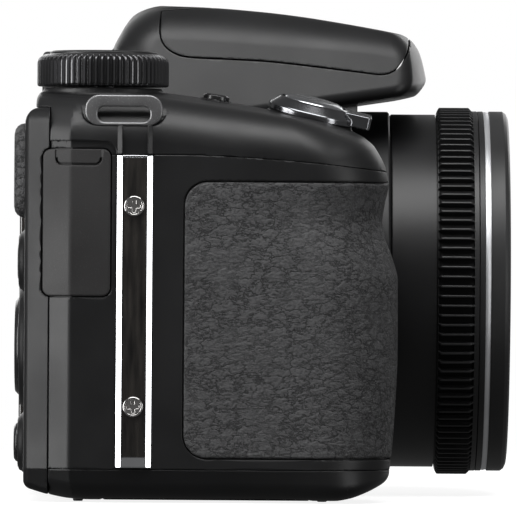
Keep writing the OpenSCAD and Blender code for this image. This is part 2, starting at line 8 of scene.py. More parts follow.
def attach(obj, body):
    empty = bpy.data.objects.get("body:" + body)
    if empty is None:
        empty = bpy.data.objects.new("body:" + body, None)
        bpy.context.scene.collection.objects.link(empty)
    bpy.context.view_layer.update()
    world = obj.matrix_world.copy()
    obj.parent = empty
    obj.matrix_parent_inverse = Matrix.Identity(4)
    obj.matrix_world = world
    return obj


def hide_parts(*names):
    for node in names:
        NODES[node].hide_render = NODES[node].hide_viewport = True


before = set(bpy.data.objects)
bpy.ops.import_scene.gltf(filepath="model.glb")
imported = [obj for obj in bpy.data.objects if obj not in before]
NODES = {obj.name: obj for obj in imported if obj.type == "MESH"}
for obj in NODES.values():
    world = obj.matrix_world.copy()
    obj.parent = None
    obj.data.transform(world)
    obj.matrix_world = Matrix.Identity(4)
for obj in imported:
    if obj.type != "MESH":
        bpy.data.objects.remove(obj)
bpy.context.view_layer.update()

MM = 0.001
LZ = 40.0  # lens axis height


# ------------------------------------------------------------------ materials
def links(mat):
    return mat.node_tree.nodes, mat.node_tree.links


def material(name, base, rough, metal=0.0, spec=0.5, dark=None, blot=60.0, rough_var=0.06,
             grain=0.0, grain_scale=6000.0, grain_detail=2.0, dust=0.0, blot_stretch=None, coat=0.0, coat_rough=0.1, stretch=None, sheen=0.0):
    """Satin or gloss surface: slow colour drift, roughness drift and a fine moulded grain, all in object space."""
    m = bpy.data.materials.new(name)
    m.use_nodes = True
    n, l = links(m)
    p = n["Principled BSDF"]
    p.inputs["Metallic"].default_value = metal
    p.inputs["Specular IOR Level"].default_value = spec
    p.inputs["Coat Weight"].default_value = coat
    p.inputs["Coat Roughness"].default_value = coat_rough
    if sheen:
        p.inputs["Sheen Weight"].default_value = sheen
        p.inputs["Sheen Roughness"].default_value = 0.5
    tc = n.new("ShaderNodeTexCoord")
    src = tc.outputs["Object"]
    if stretch:
        mp = n.new("ShaderNodeMapping")
        mp.inputs["Scale"].default_value = stretch
        l.new(src, mp.inputs["Vector"])
        src = mp.outputs["Vector"]
    slow = n.new("ShaderNodeTexNoise")
    slow.inputs["Scale"].default_value = blot
    slow.inputs["Detail"].default_value = 4.0
    if blot_stretch:
        ms = n.new("ShaderNodeMapping")
        ms.inputs["Scale"].default_value = blot_stretch
        l.new(tc.outputs["Object"], ms.inputs["Vector"])
        l.new(ms.outputs["Vector"], slow.inputs["Vector"])
    else:
        l.new(tc.outputs["Object"], slow.inputs["Vector"])
    ramp = n.new("ShaderNodeValToRGB")
    dark = dark or tuple(c * 0.72 for c in base)
    ramp.color_ramp.elements[0].position, ramp.color_ramp.elements[1].position = 0.3, 0.7
    ramp.color_ramp.elements[0].color = (*dark, 1)
    ramp.color_ramp.elements[1].color = (*base, 1)
    l.new(slow.outputs["Fac"], ramp.inputs["Fac"])
    colour = ramp.outputs["Color"]
    fine = n.new("ShaderNodeTexNoise")
    fine.inputs["Scale"].default_value = grain_scale
    fine.inputs["Detail"].default_value = grain_detail
    l.new(src, fine.inputs["Vector"])
    if dust:
        speck = n.new("ShaderNodeValToRGB")
        speck.color_ramp.elements[0].position, speck.color_ramp.elements[1].position = 0.6, 0.74
        speck.color_ramp.elements[0].color = (0, 0, 0, 1)
        speck.color_ramp.elements[1].color = (1, 1, 1, 1)
        l.new(fine.outputs["Fac"], speck.inputs["Fac"])
        mx = n.new("ShaderNodeMix")
        mx.data_type = "RGBA"
        mx.inputs["B"].default_value = (*[min(c + dust, 1) for c in base], 1)
        l.new(speck.outputs["Color"], mx.inputs["Factor"])
        l.new(colour, mx.inputs["A"])
        colour = mx.outputs["Result"]
    l.new(colour, p.inputs["Base Color"])
    mr = n.new("ShaderNodeMapRange")
    mr.inputs["From Min"].default_value, mr.inputs["From Max"].default_value = 0.3, 0.7
    mr.inputs["To Min"].default_value, mr.inputs["To Max"].default_value = max(rough - rough_var, 0.02), rough + rough_var
    l.new(slow.outputs["Fac"], mr.inputs["Value"])
    l.new(mr.outputs["Result"], p.inputs["Roughness"])
    if grain:
        b = n.new("ShaderNodeBump")
        b.inputs["Strength"].default_value = grain
        b.inputs["Distance"].default_value = 0.00006
        l.new(fine.outputs["Fac"], b.inputs["Height"])
        l.new(b.outputs["Normal"], p.inputs["Normal"])
    return m


def leather(name, base, crease_shade, depth=0.0002):
    """Grained grip covering: fine pebbles broken by wavy creases that run mostly along the camera; the cracks and the
    hollows between pebbles are darkened in the colour as painted shade.
    """
    m = bpy.data.materials.new(name)
    m.use_nodes = True
    n, l = links(m)
    p = n["Principled BSDF"]
    p.inputs["Specular IOR Level"].default_value = 0.3
    tc = n.new("ShaderNodeTexCoord")

    def mathn(op, a, b=0.0):
        q = n.new("ShaderNodeMath")
        q.operation = op
        for i, x in enumerate((a, b)):
            if isinstance(x, (int, float)):
                q.inputs[i].default_value = x
            else:
                l.new(x, q.inputs[i])
        return q.outputs[0]

    def noise(scale, detail, shift, stretch=(1.0, 1.0, 1.0), distort=0.0):
        mp = n.new("ShaderNodeMapping")
        mp.inputs["Scale"].default_value = stretch
        mp.inputs["Location"].default_value = shift
        l.new(tc.outputs["Object"], mp.inputs["Vector"])
        q = n.new("ShaderNodeTexNoise")
        q.inputs["Scale"].default_value = scale
        q.inputs["Detail"].default_value = detail
        q.inputs["Distortion"].default_value = distort
        l.new(mp.outputs["Vector"], q.inputs["Vector"])
        return q.outputs["Fac"]

    def ramp(x, a, b):
        r = n.new("ShaderNodeMapRange")
        r.interpolation_type = "SMOOTHSTEP"
        r.inputs["From Min"].default_value, r.inputs["From Max"].default_value = a, b
        l.new(x, r.inputs["Value"])
        return r.outputs["Result"]

    def cracks(scale, wide, shift, stretch, bend):
        mp = n.new("ShaderNodeMapping")
        mp.inputs["Scale"].default_value = stretch
        mp.inputs["Location"].default_value = shift
        l.new(tc.outputs["Object"], mp.inputs["Vector"])
        q = n.new("ShaderNodeTexNoise")
        q.inputs["Scale"].default_value = scale * 2.2
        q.inputs["Detail"].default_value = 5.0
        q.inputs["Roughness"].default_value = 0.62
        l.new(mp.outputs["Vector"], q.inputs["Vector"])
        off = n.new("ShaderNodeVectorMath")
        off.operation = "MULTIPLY_ADD"
        off.inputs[1].default_value = (bend, bend, bend)
        l.new(q.outputs["Color"], off.inputs[0])
        l.new(mp.outputs["Vector"], off.inputs[2])
        v = n.new("ShaderNodeTexVoronoi")
        v.feature = "DISTANCE_TO_EDGE"
        v.inputs["Scale"].default_value = scale
        l.new(off.outputs["Vector"], v.inputs["Vector"])
        return ramp(v.outputs["Distance"], 0.3 * wide, wide), ramp(v.outputs["Distance"], 0.0, 0.4)

    one, dome = cracks(480.0, 0.095, (0.0, 0.0, 0.0), (1.0, 0.56, 1.1), 0.0032)
    two, _ = cracks(1150.0, 0.22, (0.31, 0.17, 0.53), (1.0, 0.7, 1.1), 0.0011)
    one = mathn("MAXIMUM", one, mathn("MULTIPLY", ramp(noise(120.0, 3.0, (0.4, 0.9, 0.3)), 0.46, 0.72), 0.8))
    two = mathn("MAXIMUM", two, ramp(noise(150.0, 2.0, (0.7, 0.2, 0.1)), 0.4, 0.6))
    lines = mathn("MULTIPLY", mathn("ADD", mathn("MULTIPLY", one, 0.85), 0.15), mathn("ADD", mathn("MULTIPLY", two, 0.24), 0.76))
    cells = n.new("ShaderNodeTexVoronoi")
    cells.feature = "SMOOTH_F1"
    cells.inputs["Scale"].default_value = 1350.0
    l.new(tc.outputs["Object"], cells.inputs["Vector"])
    pebble = ramp(cells.outputs["Distance"], 0.75, 0.12)
    fine = ramp(noise(2000.0, 4.0, (0.0, 0.0, 0.0)), 0.34, 0.62)
    height = mathn("ADD", mathn("ADD", mathn("MULTIPLY", lines, 0.95), mathn("MULTIPLY", dome, 0.4)), mathn("ADD", mathn("MULTIPLY", pebble, 0.2), mathn("MULTIPLY", fine, 0.34)))
    bump = n.new("ShaderNodeBump")
    bump.inputs["Strength"].default_value = 0.8
    bump.inputs["Distance"].default_value = depth
    l.new(height, bump.inputs["Height"])
    l.new(bump.outputs["Normal"], p.inputs["Normal"])
    # colour: the dark colour in the cracks and towards each pebble's rim is painted shade; the fine noise is the
    # leather's own mottling
    mix = n.new("ShaderNodeMix")
    mix.data_type = "RGBA"
    mix.inputs["A"].default_value = (*crease_shade, 1)
    mix.inputs["B"].default_value = (*base, 1)
    l.new(mathn("MULTIPLY", lines, mathn("ADD", mathn("MULTIPLY", pebble, 0.15), mathn("ADD", mathn("MULTIPLY", fine, 0.36), 0.5))), mix.inputs["Factor"])
    l.new(mix.outputs["Result"], p.inputs["Base Color"])
    rough = n.new("ShaderNodeMapRange")
    rough.inputs["To Min"].default_value, rough.inputs["To Max"].default_value = 0.5, 0.68
    l.new(fine, rough.inputs["Value"])
    l.new(rough.outputs["Result"], p.inputs["Roughness"])
    return m


def glass(name, tint, coat_tint, rough=0.02, ior=1.5, transmission=1.0):
    """Coated optical glass with a faint coloured bloom that drifts over the surface."""
    m = bpy.data.materials.new(name)
    m.use_nodes = True
    n, l = links(m)
    p = n["Principled BSDF"]
    p.inputs["Roughness"].default_value = rough
    p.inputs["IOR"].default_value = ior
    p.inputs["Transmission Weight"].default_value = transmission
    p.inputs["Coat Weight"].default_value = 0.2
    p.inputs["Coat Roughness"].default_value = 0.03
    p.inputs["Specular Tint"].default_value = (*coat_tint, 1)
    tc = n.new("ShaderNodeTexCoord")
    no = n.new("ShaderNodeTexNoise")
    no.inputs["Scale"].default_value = 35.0
    l.new(tc.outputs["Object"], no.inputs["Vector"])
    r = n.new("ShaderNodeValToRGB")
    r.color_ramp.elements[0].color = (*[c * 0.8 for c in tint], 1)
    r.color_ramp.elements[1].color = (*tint, 1)
    l.new(no.outputs["Fac"], r.inputs["Fac"])
    l.new(r.outputs["Color"], p.inputs["Base Color"])
    return m


M_BODY = material("satin_black_plastic", (0.0062, 0.0063, 0.0067), 0.43, spec=0.3, grain=0.16, grain_scale=5200, dust=0.004)
M_BAND = material("barrel_black_satin", (0.006, 0.006, 0.0064), 0.38, spec=0.3, grain=0.06, grain_scale=7000, rough_var=0.03)
M_RING = material("ring_black_plastic", (0.0125, 0.0125, 0.013), 0.41, spec=0.34, grain=0.12, grain_scale=6500)
M_GLOSS = material("gloss_black_plastic", (0.022, 0.0195, 0.0175), 0.11, spec=0.5, rough_var=0.03, grain=0.02, grain_scale=900, coat=0.3)
M_PANEL = material("strip_black_lacquer", (0.02, 0.0178, 0.0158), 0.1, spec=0.5, dark=(0.0022, 0.002, 0.002), blot=300, blot_stretch=(1.0, 2.6, 0.32), rough_var=0.03, grain=0.02, grain_scale=900)
M_DIAL = material("dial_gloss_black", (0.085, 0.085, 0.088), 0.19, metal=0.85, rough_var=0.03, grain=0.02, grain_scale=4000)
# near-black and dull: painted shade for the groove floors between the focus ring's ribs
M_GROOVE_SHADE = material("groove_painted_shade", (0.0026, 0.0026, 0.0028), 0.62, spec=0.1, grain=0.1, grain_scale=5000)
# a slightly darker, less glossy copy of the body plastic: painted shade on the rear cover
M_REAR_SHADED = material("rear_cover_painted_shade", (0.0058, 0.0059, 0.0063), 0.44, spec=0.235, grain=0.16, grain_scale=5200, dust=0.004)
M_RIM = material("rim_black_satin", (0.025, 0.025, 0.0255), 0.4, spec=0.26, grain=0.06, grain_scale=6000)
M_SEMI = material("semi_gloss_black", (0.011, 0.011, 0.0115), 0.24, spec=0.45, grain=0.05, grain_scale=4000)
M_RUBBER = material("black_rubber", (0.0175, 0.017, 0.0172), 0.56, spec=0.3, grain=0.3, grain_scale=3400, dust=0.008)
# the second colour is painted shade in the leather's cracks
M_LEATHER = leather("grip_leather", (0.0535, 0.0535, 0.055), (0.0065, 0.0065, 0.007))
M_CHROME = material("polished_chrome", (0.72, 0.73, 0.75), 0.1, metal=1.0, rough_var=0.03, grain=0.02, grain_scale=1500)
M_SATIN = material("satin_chrome", (0.5, 0.51, 0.53), 0.22, metal=1.0, rough_var=0.05, grain=0.05, grain_scale=2600)
M_SILVER = material("bright_trim", (0.78, 0.79, 0.81), 0.38, metal=0.8, rough_var=0.03, grain=0.03, grain_scale=3000)
M_CAST = material("cast_metal_grey", (0.19, 0.19, 0.193), 0.38, metal=0.8, rough_var=0.08, grain=0.4, grain_scale=3800, dust=0.08)
M_GUN = material("dark_chrome", (0.2, 0.203, 0.212), 0.17, metal=1.0, rough_var=0.04, grain=0.03, grain_scale=2600)
M_STEEL = material("screw_steel", (0.5, 0.49, 0.48), 0.16, metal=1.0, rough_var=0.05, grain=0.05, grain_scale=2400)
M_BRASS = material("nickel_bush", (0.55, 0.54, 0.52), 0.3, metal=1.0, grain=0.1, grain_scale=2600)
M_INNER = material("inner_plastic", (0.03, 0.03, 0.032), 0.55, spec=0.35, grain=0.15, grain_scale=2500)
M_BOARD = material("circuit_board", (0.012, 0.09, 0.035), 0.4, spec=0.5, blot=900, dark=(0.02, 0.05, 0.025), grain=0.2, grain_scale=1600)
M_CELL = material("battery_wrap", (0.03, 0.045, 0.075), 0.35, spec=0.5, grain=0.05, grain_scale=900)
M_NYLON = material("natural_nylon", (0.55, 0.5, 0.38), 0.45, spec=0.45, grain=0.1, grain_scale=2000)
M_REFLECT = material("flash_reflector", (0.86, 0.86, 0.84), 0.16, metal=0.9, rough_var=0.04, grain=0.1, grain_scale=1200)
M_RED = material("record_red", (0.34, 0.018, 0.014), 0.26, spec=0.5, grain=0.05, grain_scale=3000)
M_SCREEN = material("dark_display", (0.005, 0.0055, 0.0065), 0.06, spec=0.5, rough_var=0.02, grain=0.01, grain_scale=500, coat=0.6, coat_rough=0.03)
M_GLASS = glass("coated_glass", (0.92, 0.95, 0.98), (0.55, 0.45, 0.9))
M_WINDOW = glass("flash_window_clear", (0.95, 0.97, 1.0), (0.9, 0.95, 1.0), rough=0.08)
M_AMBER = glass("amber_lamp", (0.9, 0.42, 0.1), (1.0, 0.9, 0.8), rough=0.12, transmission=0.7)


# ------------------------------------------------------------------ mesh helpers
def build_mesh(name, v, f):
    """Mesh from vertices in millimetres and faces, an (n, k) array or a list of tuples."""
    me = bpy.data.meshes.new(name)
    me.from_pydata((np.asarray(v, float) * MM).tolist(), [], [tuple(int(i) for i in q) for q in f])
    me.update()
    return me


def piece(name, me, mat, body, nodes=(), normals=None, sharp=32.0):
    for m in (mat if isinstance(mat, (list, tuple)) else [mat]):
        me.materials.append(m)
    me.polygons.foreach_set("use_smooth", np.ones(len(me.polygons), bool))
    if normals is not None:
        me.normals_split_custom_set(normals.tolist())
    elif sharp:
        me.set_sharp_from_angle(angle=math.radians(sharp))
    o = bpy.data.objects.new(name, me)
    bpy.context.scene.collection.objects.link(o)
    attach(o, body)
    if nodes:
        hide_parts(*nodes)
    return o


def join(parts):
    """Several (verts, faces) into one."""
    vs, fs, n = [], [], 0
    for v, f in parts:
        vs.append(np.asarray(v, float))
        fs += [tuple(int(i) + n for i in q) for q in f]
        n += len(v)
    return np.concatenate(vs), fs


def strip(loops, closed=False, cap0=False, cap1=False):
    """Quads between successive closed loops of equal length."""
    n, m = len(loops[0]), len(loops)
    v = np.concatenate([np.asarray(q, float) for q in loops])
    f = []
    for j in range(m if closed else m - 1):
        a, b = j * n, ((j + 1) % m) * n
        for i in range(n):
            k = (i + 1) % n
            f.append((a + i, a + k, b + k, b + i))
    if cap0:
        f.append(tuple(range(n - 1, -1, -1)))
    if cap1:
        f.append(tuple(range((m - 1) * n, m * n)))
    return v, f


def soften(pts, n=4):
    """Polyline of (a, b, radius) with its corners rounded, open ends kept."""
    out = []
    for i, q in enumerate(pts):
        r = q[2] if len(q) > 2 else 0
        p = np.array(q[:2], float)
        if i in (0, len(pts) - 1) or r <= 0:
            out.append(p)
            continue
        u, w = np.array(pts[i - 1][:2], float) - p, np.array(pts[i + 1][:2], float) - p
        lu, lw = np.linalg.norm(u), np.linalg.norm(w)
        u, w = u / lu, w / lw
        h = math.acos(np.clip(u @ w, -1, 1)) / 2
        if h > math.pi / 2 - 0.02:
            out.append(p)
            continue
        t = min(r / math.tan(h), lu * 0.49, lw * 0.49)
        r = t * math.tan(h)
        c = p + (u + w) / np.linalg.norm(u + w) * r / math.sin(h)
        s, e = p + u * t - c, p + w * t - c
        a0 = math.atan2(s[1], s[0])
        d = (math.atan2(e[1], e[0]) - a0 + math.pi) % (2 * math.pi) - math.pi
        out += [c + r * np.array([math.cos(a0 + d * k / n), math.sin(a0 + d * k / n)]) for k in range(n + 1)]
    return np.array(out)


def rloop(pts, n=6):
    """Closed loop of (a, b, radius) with rounded corners."""
    m = len(pts)
    out = []
    for i in range(m):
        three = [(*pts[(i - 1) % m][:2],), pts[i], (*pts[(i + 1) % m][:2],)]
        seg = soften(three, n)[1:-1]
        if len(seg) == 1:
            seg = np.repeat(seg, n + 1, 0)
        out.append(seg)
    return np.concatenate(out)


def rrect(x0, x1, z0, z1, r, n=6):
    return rloop([(x0, z0, r), (x1, z0, r), (x1, z1, r), (x0, z1, r)], n)


LENS = np.array([[1, 0, 0, 0], [0, 0, -1, 0], [0, 1, 0, LZ], [0, 0, 0, 1]], float)  # local z runs forward along -Y


def at(x=0, y=0, z=0, tilt=0.0):
    """Local z up from a point, leaning forward by tilt degrees."""
    c, s = math.cos(math.radians(tilt)), math.sin(math.radians(tilt))
    return np.array([[1, 0, 0, x], [0, c, -s, y], [0, s, c, z], [0, 0, 0, 1]], float)


def rearward(x, z):
    """Local z runs rearward along +Y from the plane Y = 0."""
    return np.array([[-1, 0, 0, x], [0, 0, 1, 0], [0, 1, 0, z], [0, 0, 0, 1]], float)


def sideways(y, z, s=1):
    """Local z runs along +X (s = 1) or -X (s = -1)."""
    return np.array([[0, 0, s, 0], [s, 0, 0, y], [0, 1, 0, z], [0, 0, 0, 1]], float)


def moved(v, M):
    return np.asarray(v) @ M[:3, :3].T + M[:3, 3]


def turn(prof, M, seg=160, shape=None, closed=True):
    """Turned body: profile of (radius, height), closed as a ring or open from axis to axis. shape(theta, r, h) may change the radius."""
    prof = np.asarray(prof, float)
    th = np.arange(seg) * 2 * math.pi / seg
    loops = []
    for r, h in prof:
        rr = np.full(seg, r) if shape is None else shape(th, r, h)
        loops.append(np.stack([rr * np.cos(th), rr * np.sin(th), np.full(seg, h)], 1))
    if closed:
        v, f = strip(loops, closed=True)
    else:
        a, b = prof[0][0] < 1e-6, prof[-1][0] < 1e-6
        core = loops[1 if a else 0:len(loops) - (1 if b else 0)]
        v, f = strip(core, cap0=not a, cap1=not b)
        n = seg
        if a:
            c = len(v)
            v = np.vstack([v, [[0, 0, prof[0][1]]]])
            f += [(c, (i + 1) % n, i) for i in range(n)]
        if b:
            c, s0 = len(v), (len(core) - 1) * n
            v = np.vstack([v, [[0, 0, prof[-1][1]]]])
            f += [(c, s0 + i, s0 + (i + 1) % n) for i in range(n)]
    return moved(v, M), f


def outward(v, f):
    """Turns every face the same way, outward."""
    me = build_mesh("tmp", v, f)
    import bmesh
    b = bmesh.new()
    b.from_mesh(me)
    bmesh.ops.recalc_face_normals(b, faces=b.faces)
    b.to_mesh(me)
    b.free()
    return me


def solid(name, vf, mat, body, nodes=(), sharp=32.0):
    me = outward(*vf)
    me.name = name
    return piece(name, me, mat, body, nodes, sharp=sharp)


# ------------------------------------------------------------------ smooth solids from distance functions
def rmax(a, b, r):
    u, w = np.maximum(a + r, 0), np.maximum(b + r, 0)
    return np.minimum(np.maximum(a, b), -r) + np.sqrt(u * u + w * w)


def rmin(a, b, r):
    return -rmax(-a, -b, r)


def rr(u, v, u0, u1, v0, v1, r):
    du, dv = np.abs(u - (u0 + u1) / 2) - (u1 - u0) / 2 + r, np.abs(v - (v0 + v1) / 2) - (v1 - v0) / 2 + r
    return np.hypot(np.maximum(du, 0), np.maximum(dv, 0)) + np.minimum(np.maximum(du, dv), 0) - r


def sstep(x, a, b):
    t = np.clip((x - a) / (b - a), 0, 1)
    return t * t * (3 - 2 * t)


def table(pts, lo, hi, step=0.05):
    """Smooth monotone curve through points, as a dense table for np.interp."""
    x, y = np.array(pts, float).T
    h, d = np.diff(x), np.diff(y) / np.diff(x)
    m = np.zeros(len(x))
    for i in range(1, len(x) - 1):
        if d[i - 1] * d[i] > 0:
            w1, w2 = 2 * h[i] + h[i - 1], h[i] + 2 * h[i - 1]
            m[i] = (w1 + w2) / (w1 / d[i - 1] + w2 / d[i])
    m[0], m[-1] = d[0], d[-1]
    q = np.arange(lo, hi, step)
    k = np.clip(np.searchsorted(x, q) - 1, 0, len(x) - 2)
    t = np.clip((q - x[k]) / h[k], -20, 20)
    val = (2 * t**3 - 3 * t**2 + 1) * y[k] + (t**3 - 2 * t**2 + t) * h[k] * m[k] + (-2 * t**3 + 3 * t**2) * y[k + 1] + (t**3 - t**2) * h[k] * m[k + 1]
    val = np.where(t < 0, y[0] + (q - x[0]) * m[0], np.where(t > 1, y[-1] + (q - x[-1]) * m[-1], val))
    ker = np.hanning(31)
    ker /= ker.sum()
    pad = np.concatenate([np.full(15, val[0]), val, np.full(15, val[-1])])
    return q, np.convolve(pad, ker, "valid")


def poly2(u, v, pts):
    """Signed distance to a closed polygon, negative inside."""
    pts = np.asarray(pts, float)
    best = np.full(u.shape, 1e18)
    sign = np.ones(u.shape)
    for i in range(len(pts)):
        a, b = pts[i], pts[i - 1]
        ex, ey = b - a
        wx, wy = u - a[0], v - a[1]
        t = np.clip((wx * ex + wy * ey) / (ex * ex + ey * ey), 0, 1)
        best = np.minimum(best, (wx - ex * t) ** 2 + (wy - ey * t) ** 2)
        c1, c2, c3 = v >= a[1], v < b[1], ex * wy > ey * wx
        sign = np.where((c1 & c2 & c3) | (~c1 & ~c2 & ~c3), -sign, sign)
    return sign * np.sqrt(best)


def ev(f, p, chunk=300_000):
    return np.concatenate([f(p[i:i + chunk, 0], p[i:i + chunk, 1], p[i:i + chunk, 2]) for i in range(0, len(p), chunk)]) if len(p) else np.zeros(0)


TET = np.array([[1, -1, -1], [-1, -1, 1], [-1, 1, -1], [1, 1, 1]], float)


def gradient(f, p, e=0.03):
    g = sum(k * ev(f, p + k * e)[:, None] for k in TET)
    return g / np.maximum(np.linalg.norm(g, axis=1, keepdims=True), 1e-12), np.linalg.norm(g, axis=1) / (4 * e)


def settle(f, p, reach, steps=3):
    for _ in range(steps):
        g, s = gradient(f, p)
        d = np.clip(ev(f, p) / np.maximum(s, 0.3), -reach, reach)
        p = p - g * d[:, None]
    return p


OFFS = np.array([[i, j, k] for i in (0, 1) for j in (0, 1) for k in (0, 1)])


def level_mesh(f, lo, hi, h, levels=4, wide=1.7):
    """Zero level of f as quads on a sparse grid that is refined near the surface. Each cell's vertex goes where the tangent planes in it meet, so edges stay crisp."""
    lo, hi = np.array(lo, float) - 0.013, np.array(hi, float)
    n = np.ceil((hi - lo) / (h * 2**levels)).astype(int)
    idx = np.stack(np.meshgrid(*[np.arange(k) for k in n], indexing="ij"), -1).reshape(-1, 3)
    for lev in range(levels, -1, -1):
        size = h * 2**lev
        d = ev(f, lo + (idx + 0.5) * size)
        idx = idx[np.abs(d) < size * 0.866 * wide]
        if lev:
            idx = (idx[:, None, :] * 2 + OFFS[None]).reshape(-1, 3)
    N = n * 2**levels + 2
    key = lambda q: (q[..., 0].astype(np.int64) * N[1] + q[..., 1]) * N[2] + q[..., 2]
    corner = idx[:, None, :] + OFFS[None]
    uk, first, inv = np.unique(key(corner).ravel(), return_index=True, return_inverse=True)
    val = ev(f, lo + corner.reshape(-1, 3)[first] * h)[inv].reshape(-1, 8)
    neg = val < 0
    keep = neg.any(1) & ~neg.all(1)
    idx, val, neg = idx[keep], val[keep], neg[keep]
    order = np.argsort(key(idx))
    idx, val, neg = idx[order], val[order], neg[order]
    ck = key(idx)
    ek, ep, ec = [], [], []
    for a in range(8):
        for ax in range(3):
            if OFFS[a][ax] == 0:
                b = a + (4, 2, 1)[ax]
                x = np.nonzero(neg[:, a] != neg[:, b])[0]
                base = idx[x] + OFFS[a]
                q = base.astype(float)
                q[:, ax] += val[x, a] / (val[x, a] - val[x, b])
                ek.append(key(base) * 3 + ax)
                ep.append(lo + q * h)
                ec.append(x)
    ek, ep, ec = np.concatenate(ek), np.concatenate(ep), np.concatenate(ec)
    _, first, inv = np.unique(ek, return_index=True, return_inverse=True)
    p = ep[first]
    g, s = gradient(f, p, 0.012)
    p = p - g * np.clip(ev(f, p) / np.maximum(s, 0.3), -0.3 * h, 0.3 * h)[:, None]
    g, p, m = g[inv], p[inv], len(idx)
    mass = np.stack([np.bincount(ec, p[:, i], m) for i in range(3)], 1) / np.bincount(ec, minlength=m)[:, None]
    w = np.einsum("ij,ij->i", g, p - mass[ec])
    A = np.tile(np.eye(3) * 0.06, (m, 1, 1))
    for i in range(3):
        for j in range(3):
            A[:, i, j] += np.bincount(ec, g[:, i] * g[:, j], m)
    rhs = np.stack([np.bincount(ec, g[:, i] * w, m) for i in range(3)], 1)
    v = mass + np.linalg.solve(A, rhs[..., None])[..., 0]
    v = np.clip(v, lo + (idx - 0.1) * h, lo + (idx + 1.1) * h)
    faces = []
    E = np.eye(3, dtype=int)
    for ax in range(3):
        b, c = (ax + 1) % 3, (ax + 2) % 3
        x = np.nonzero(neg[:, 0] != neg[:, (4, 2, 1)[ax]])[0]
        ks = [key(idx[x] - E[b] - E[c]), key(idx[x] - E[c]), ck[x], key(idx[x] - E[b])]
        ids = np.stack([np.clip(np.searchsorted(ck, k), 0, len(ck) - 1) for k in ks], 1)
        good = np.all(np.stack([ck[ids[:, i]] == ks[i] for i in range(4)], 1), 1)
        ids, inside = ids[good], neg[x, 0][good]
        faces.append(np.where(inside[:, None], ids, ids[:, ::-1]))
    return v, np.concatenate(faces)


def tris_of(q):
    return np.concatenate([q[:, [0, 1, 2]], q[:, [0, 2, 3]]])


def fast_mesh(name, v, f):
    me = bpy.data.meshes.new(name)
    me.vertices.add(len(v))
    me.vertices.foreach_set("co", (v * MM).astype(np.float32).ravel())
    me.loops.add(f.size)
    me.loops.foreach_set("vertex_index", f.astype(np.int32).ravel())
    me.polygons.add(len(f))
    me.polygons.foreach_set("loop_start", np.arange(0, f.size, f.shape[1], dtype=np.int32))
    me.update(calc_edges=True)
    return me


def arrays(me):
    v = np.zeros(len(me.vertices) * 3, np.float32)
    me.vertices.foreach_get("co", v)
    return v.reshape(-1, 3).astype(float) / MM


def moulded(name, f, lo, hi, h, keep, mat, body, nodes=()):
    """Closed smooth solid from a distance function: meshed finely, thinned where it is flat, then set back on the surface with its true normals."""
    v, q = level_mesh(f, lo, hi, h)
    me = fast_mesh(name + "_raw", v, tris_of(q))
    o = bpy.data.objects.new(name + "_raw", me)
    bpy.context.scene.collection.objects.link(o)
    m = o.modifiers.new("thin", "DECIMATE")
    m.ratio = keep
    dg = bpy.context.evaluated_depsgraph_get()
    out = bpy.data.meshes.new_from_object(o.evaluated_get(dg))
    bpy.data.objects.remove(o)
    bpy.data.meshes.remove(me)
    out.name = name
    p = settle(f, arrays(out), h * 0.3, 1)
    out.vertices.foreach_set("co", (p * MM).astype(np.float32).ravel())
    out.update()
    tri = np.empty(len(out.loops), np.int32)
    out.loops.foreach_get("vertex_index", tri)
    tri = tri.reshape(-1, 3)
    P = p[tri]
    flat = np.cross(P[:, 1] - P[:, 0], P[:, 2] - P[:, 0])
    flat /= np.maximum(np.linalg.norm(flat, axis=1, keepdims=True), 1e-12)
    n = gradient(f, p, 0.04)[0][tri]
    edge = np.einsum("mij,mj->mi", n, flat) < 0.94
    if edge.any():
        face = np.broadcast_to(flat[:, None], P.shape)[edge]
        g = gradient(f, (P + (P.mean(1, keepdims=True) - P) * 0.3)[edge], 0.03)[0]
        n[edge] = np.where((g * face).sum(1, keepdims=True) > 0.6, g, face)
    return piece(name, out, mat, body, nodes, normals=n.reshape(-1, 3))


# ------------------------------------------------------------------ body shape
NOSE_Q, NOSE_F = table([(-6, 36.7), (3, 36.9), (5.4, 37.1), (8, 37.4), (18, 38.1), (28, 38.5), (42, 38.45), (46.4, 37.4), (50.6, 35.85), (53.4, 35.4),
                        (57, 35.9), (60.7, 36.6), (62.4, 36.35), (64.4, 35.75), (66.9, 34.4), (69.2, 32.8), (71.5, 30.9), (75, 27.2), (80, 21.5)], -8, 100)
BASE_Q, BASE_Z = table([(-34, 2.6), (-28.1, 0.9), (-24, 0.2), (-20, 0.0), (26.5, 0.0), (29.4, 0.45), (32.4, 1.5), (35.5, 3.0), (38.5, 4.7)], -60, 60)


def top_z(F):
    g = np.maximum(F + 8, 0)
    return 78.4 - 0.12 * g - 0.0014 * g * g


def part_z(F):
    return 65.8 - 2.6 * np.clip((F + 2) / 36, 0, 1.2) ** 1.6


def plan(x, y, z, yr=33.0, draft=0.0):
    F = -y
    d1 = ((x + 83) * -62.7 + (y - 24.2) * -0.6) / 62.703
    d2 = ((x + 78) * -8.8 + (y - 33) * 5) / 10.121
    d6 = (F - np.interp(z, NOSE_Q, NOSE_F))
    d7 = ((x + 46.5) * 18.5 + (y + 38.5) * -2) / 18.608
    front = rmin(F - 20, rmax(d6, d7, 13), 7)
    # shallow hollow for the fingers above the middle of the grip
    hollow = 0.95 * np.exp(-(((z - 54.5) / 6.2) ** 2)) * sstep(F, 0, 24)
    side = rmax(d1, d2, 0.25) + draft + hollow
    p = rmax(side, rmax(front, x - 45, 10), 15.5)
    return rmax(p, y - yr, np.where(x < 0, 1.0, 7.0))


SZ = float(top_z(np.array(21.6))) + 0.1  # zoom lever seat: height, forward tilt and sideways lean
ST, SL = math.radians(13), math.radians(6.5)
SN = (-math.cos(ST) * math.sin(SL), -math.sin(ST), math.cos(ST) * math.cos(SL))


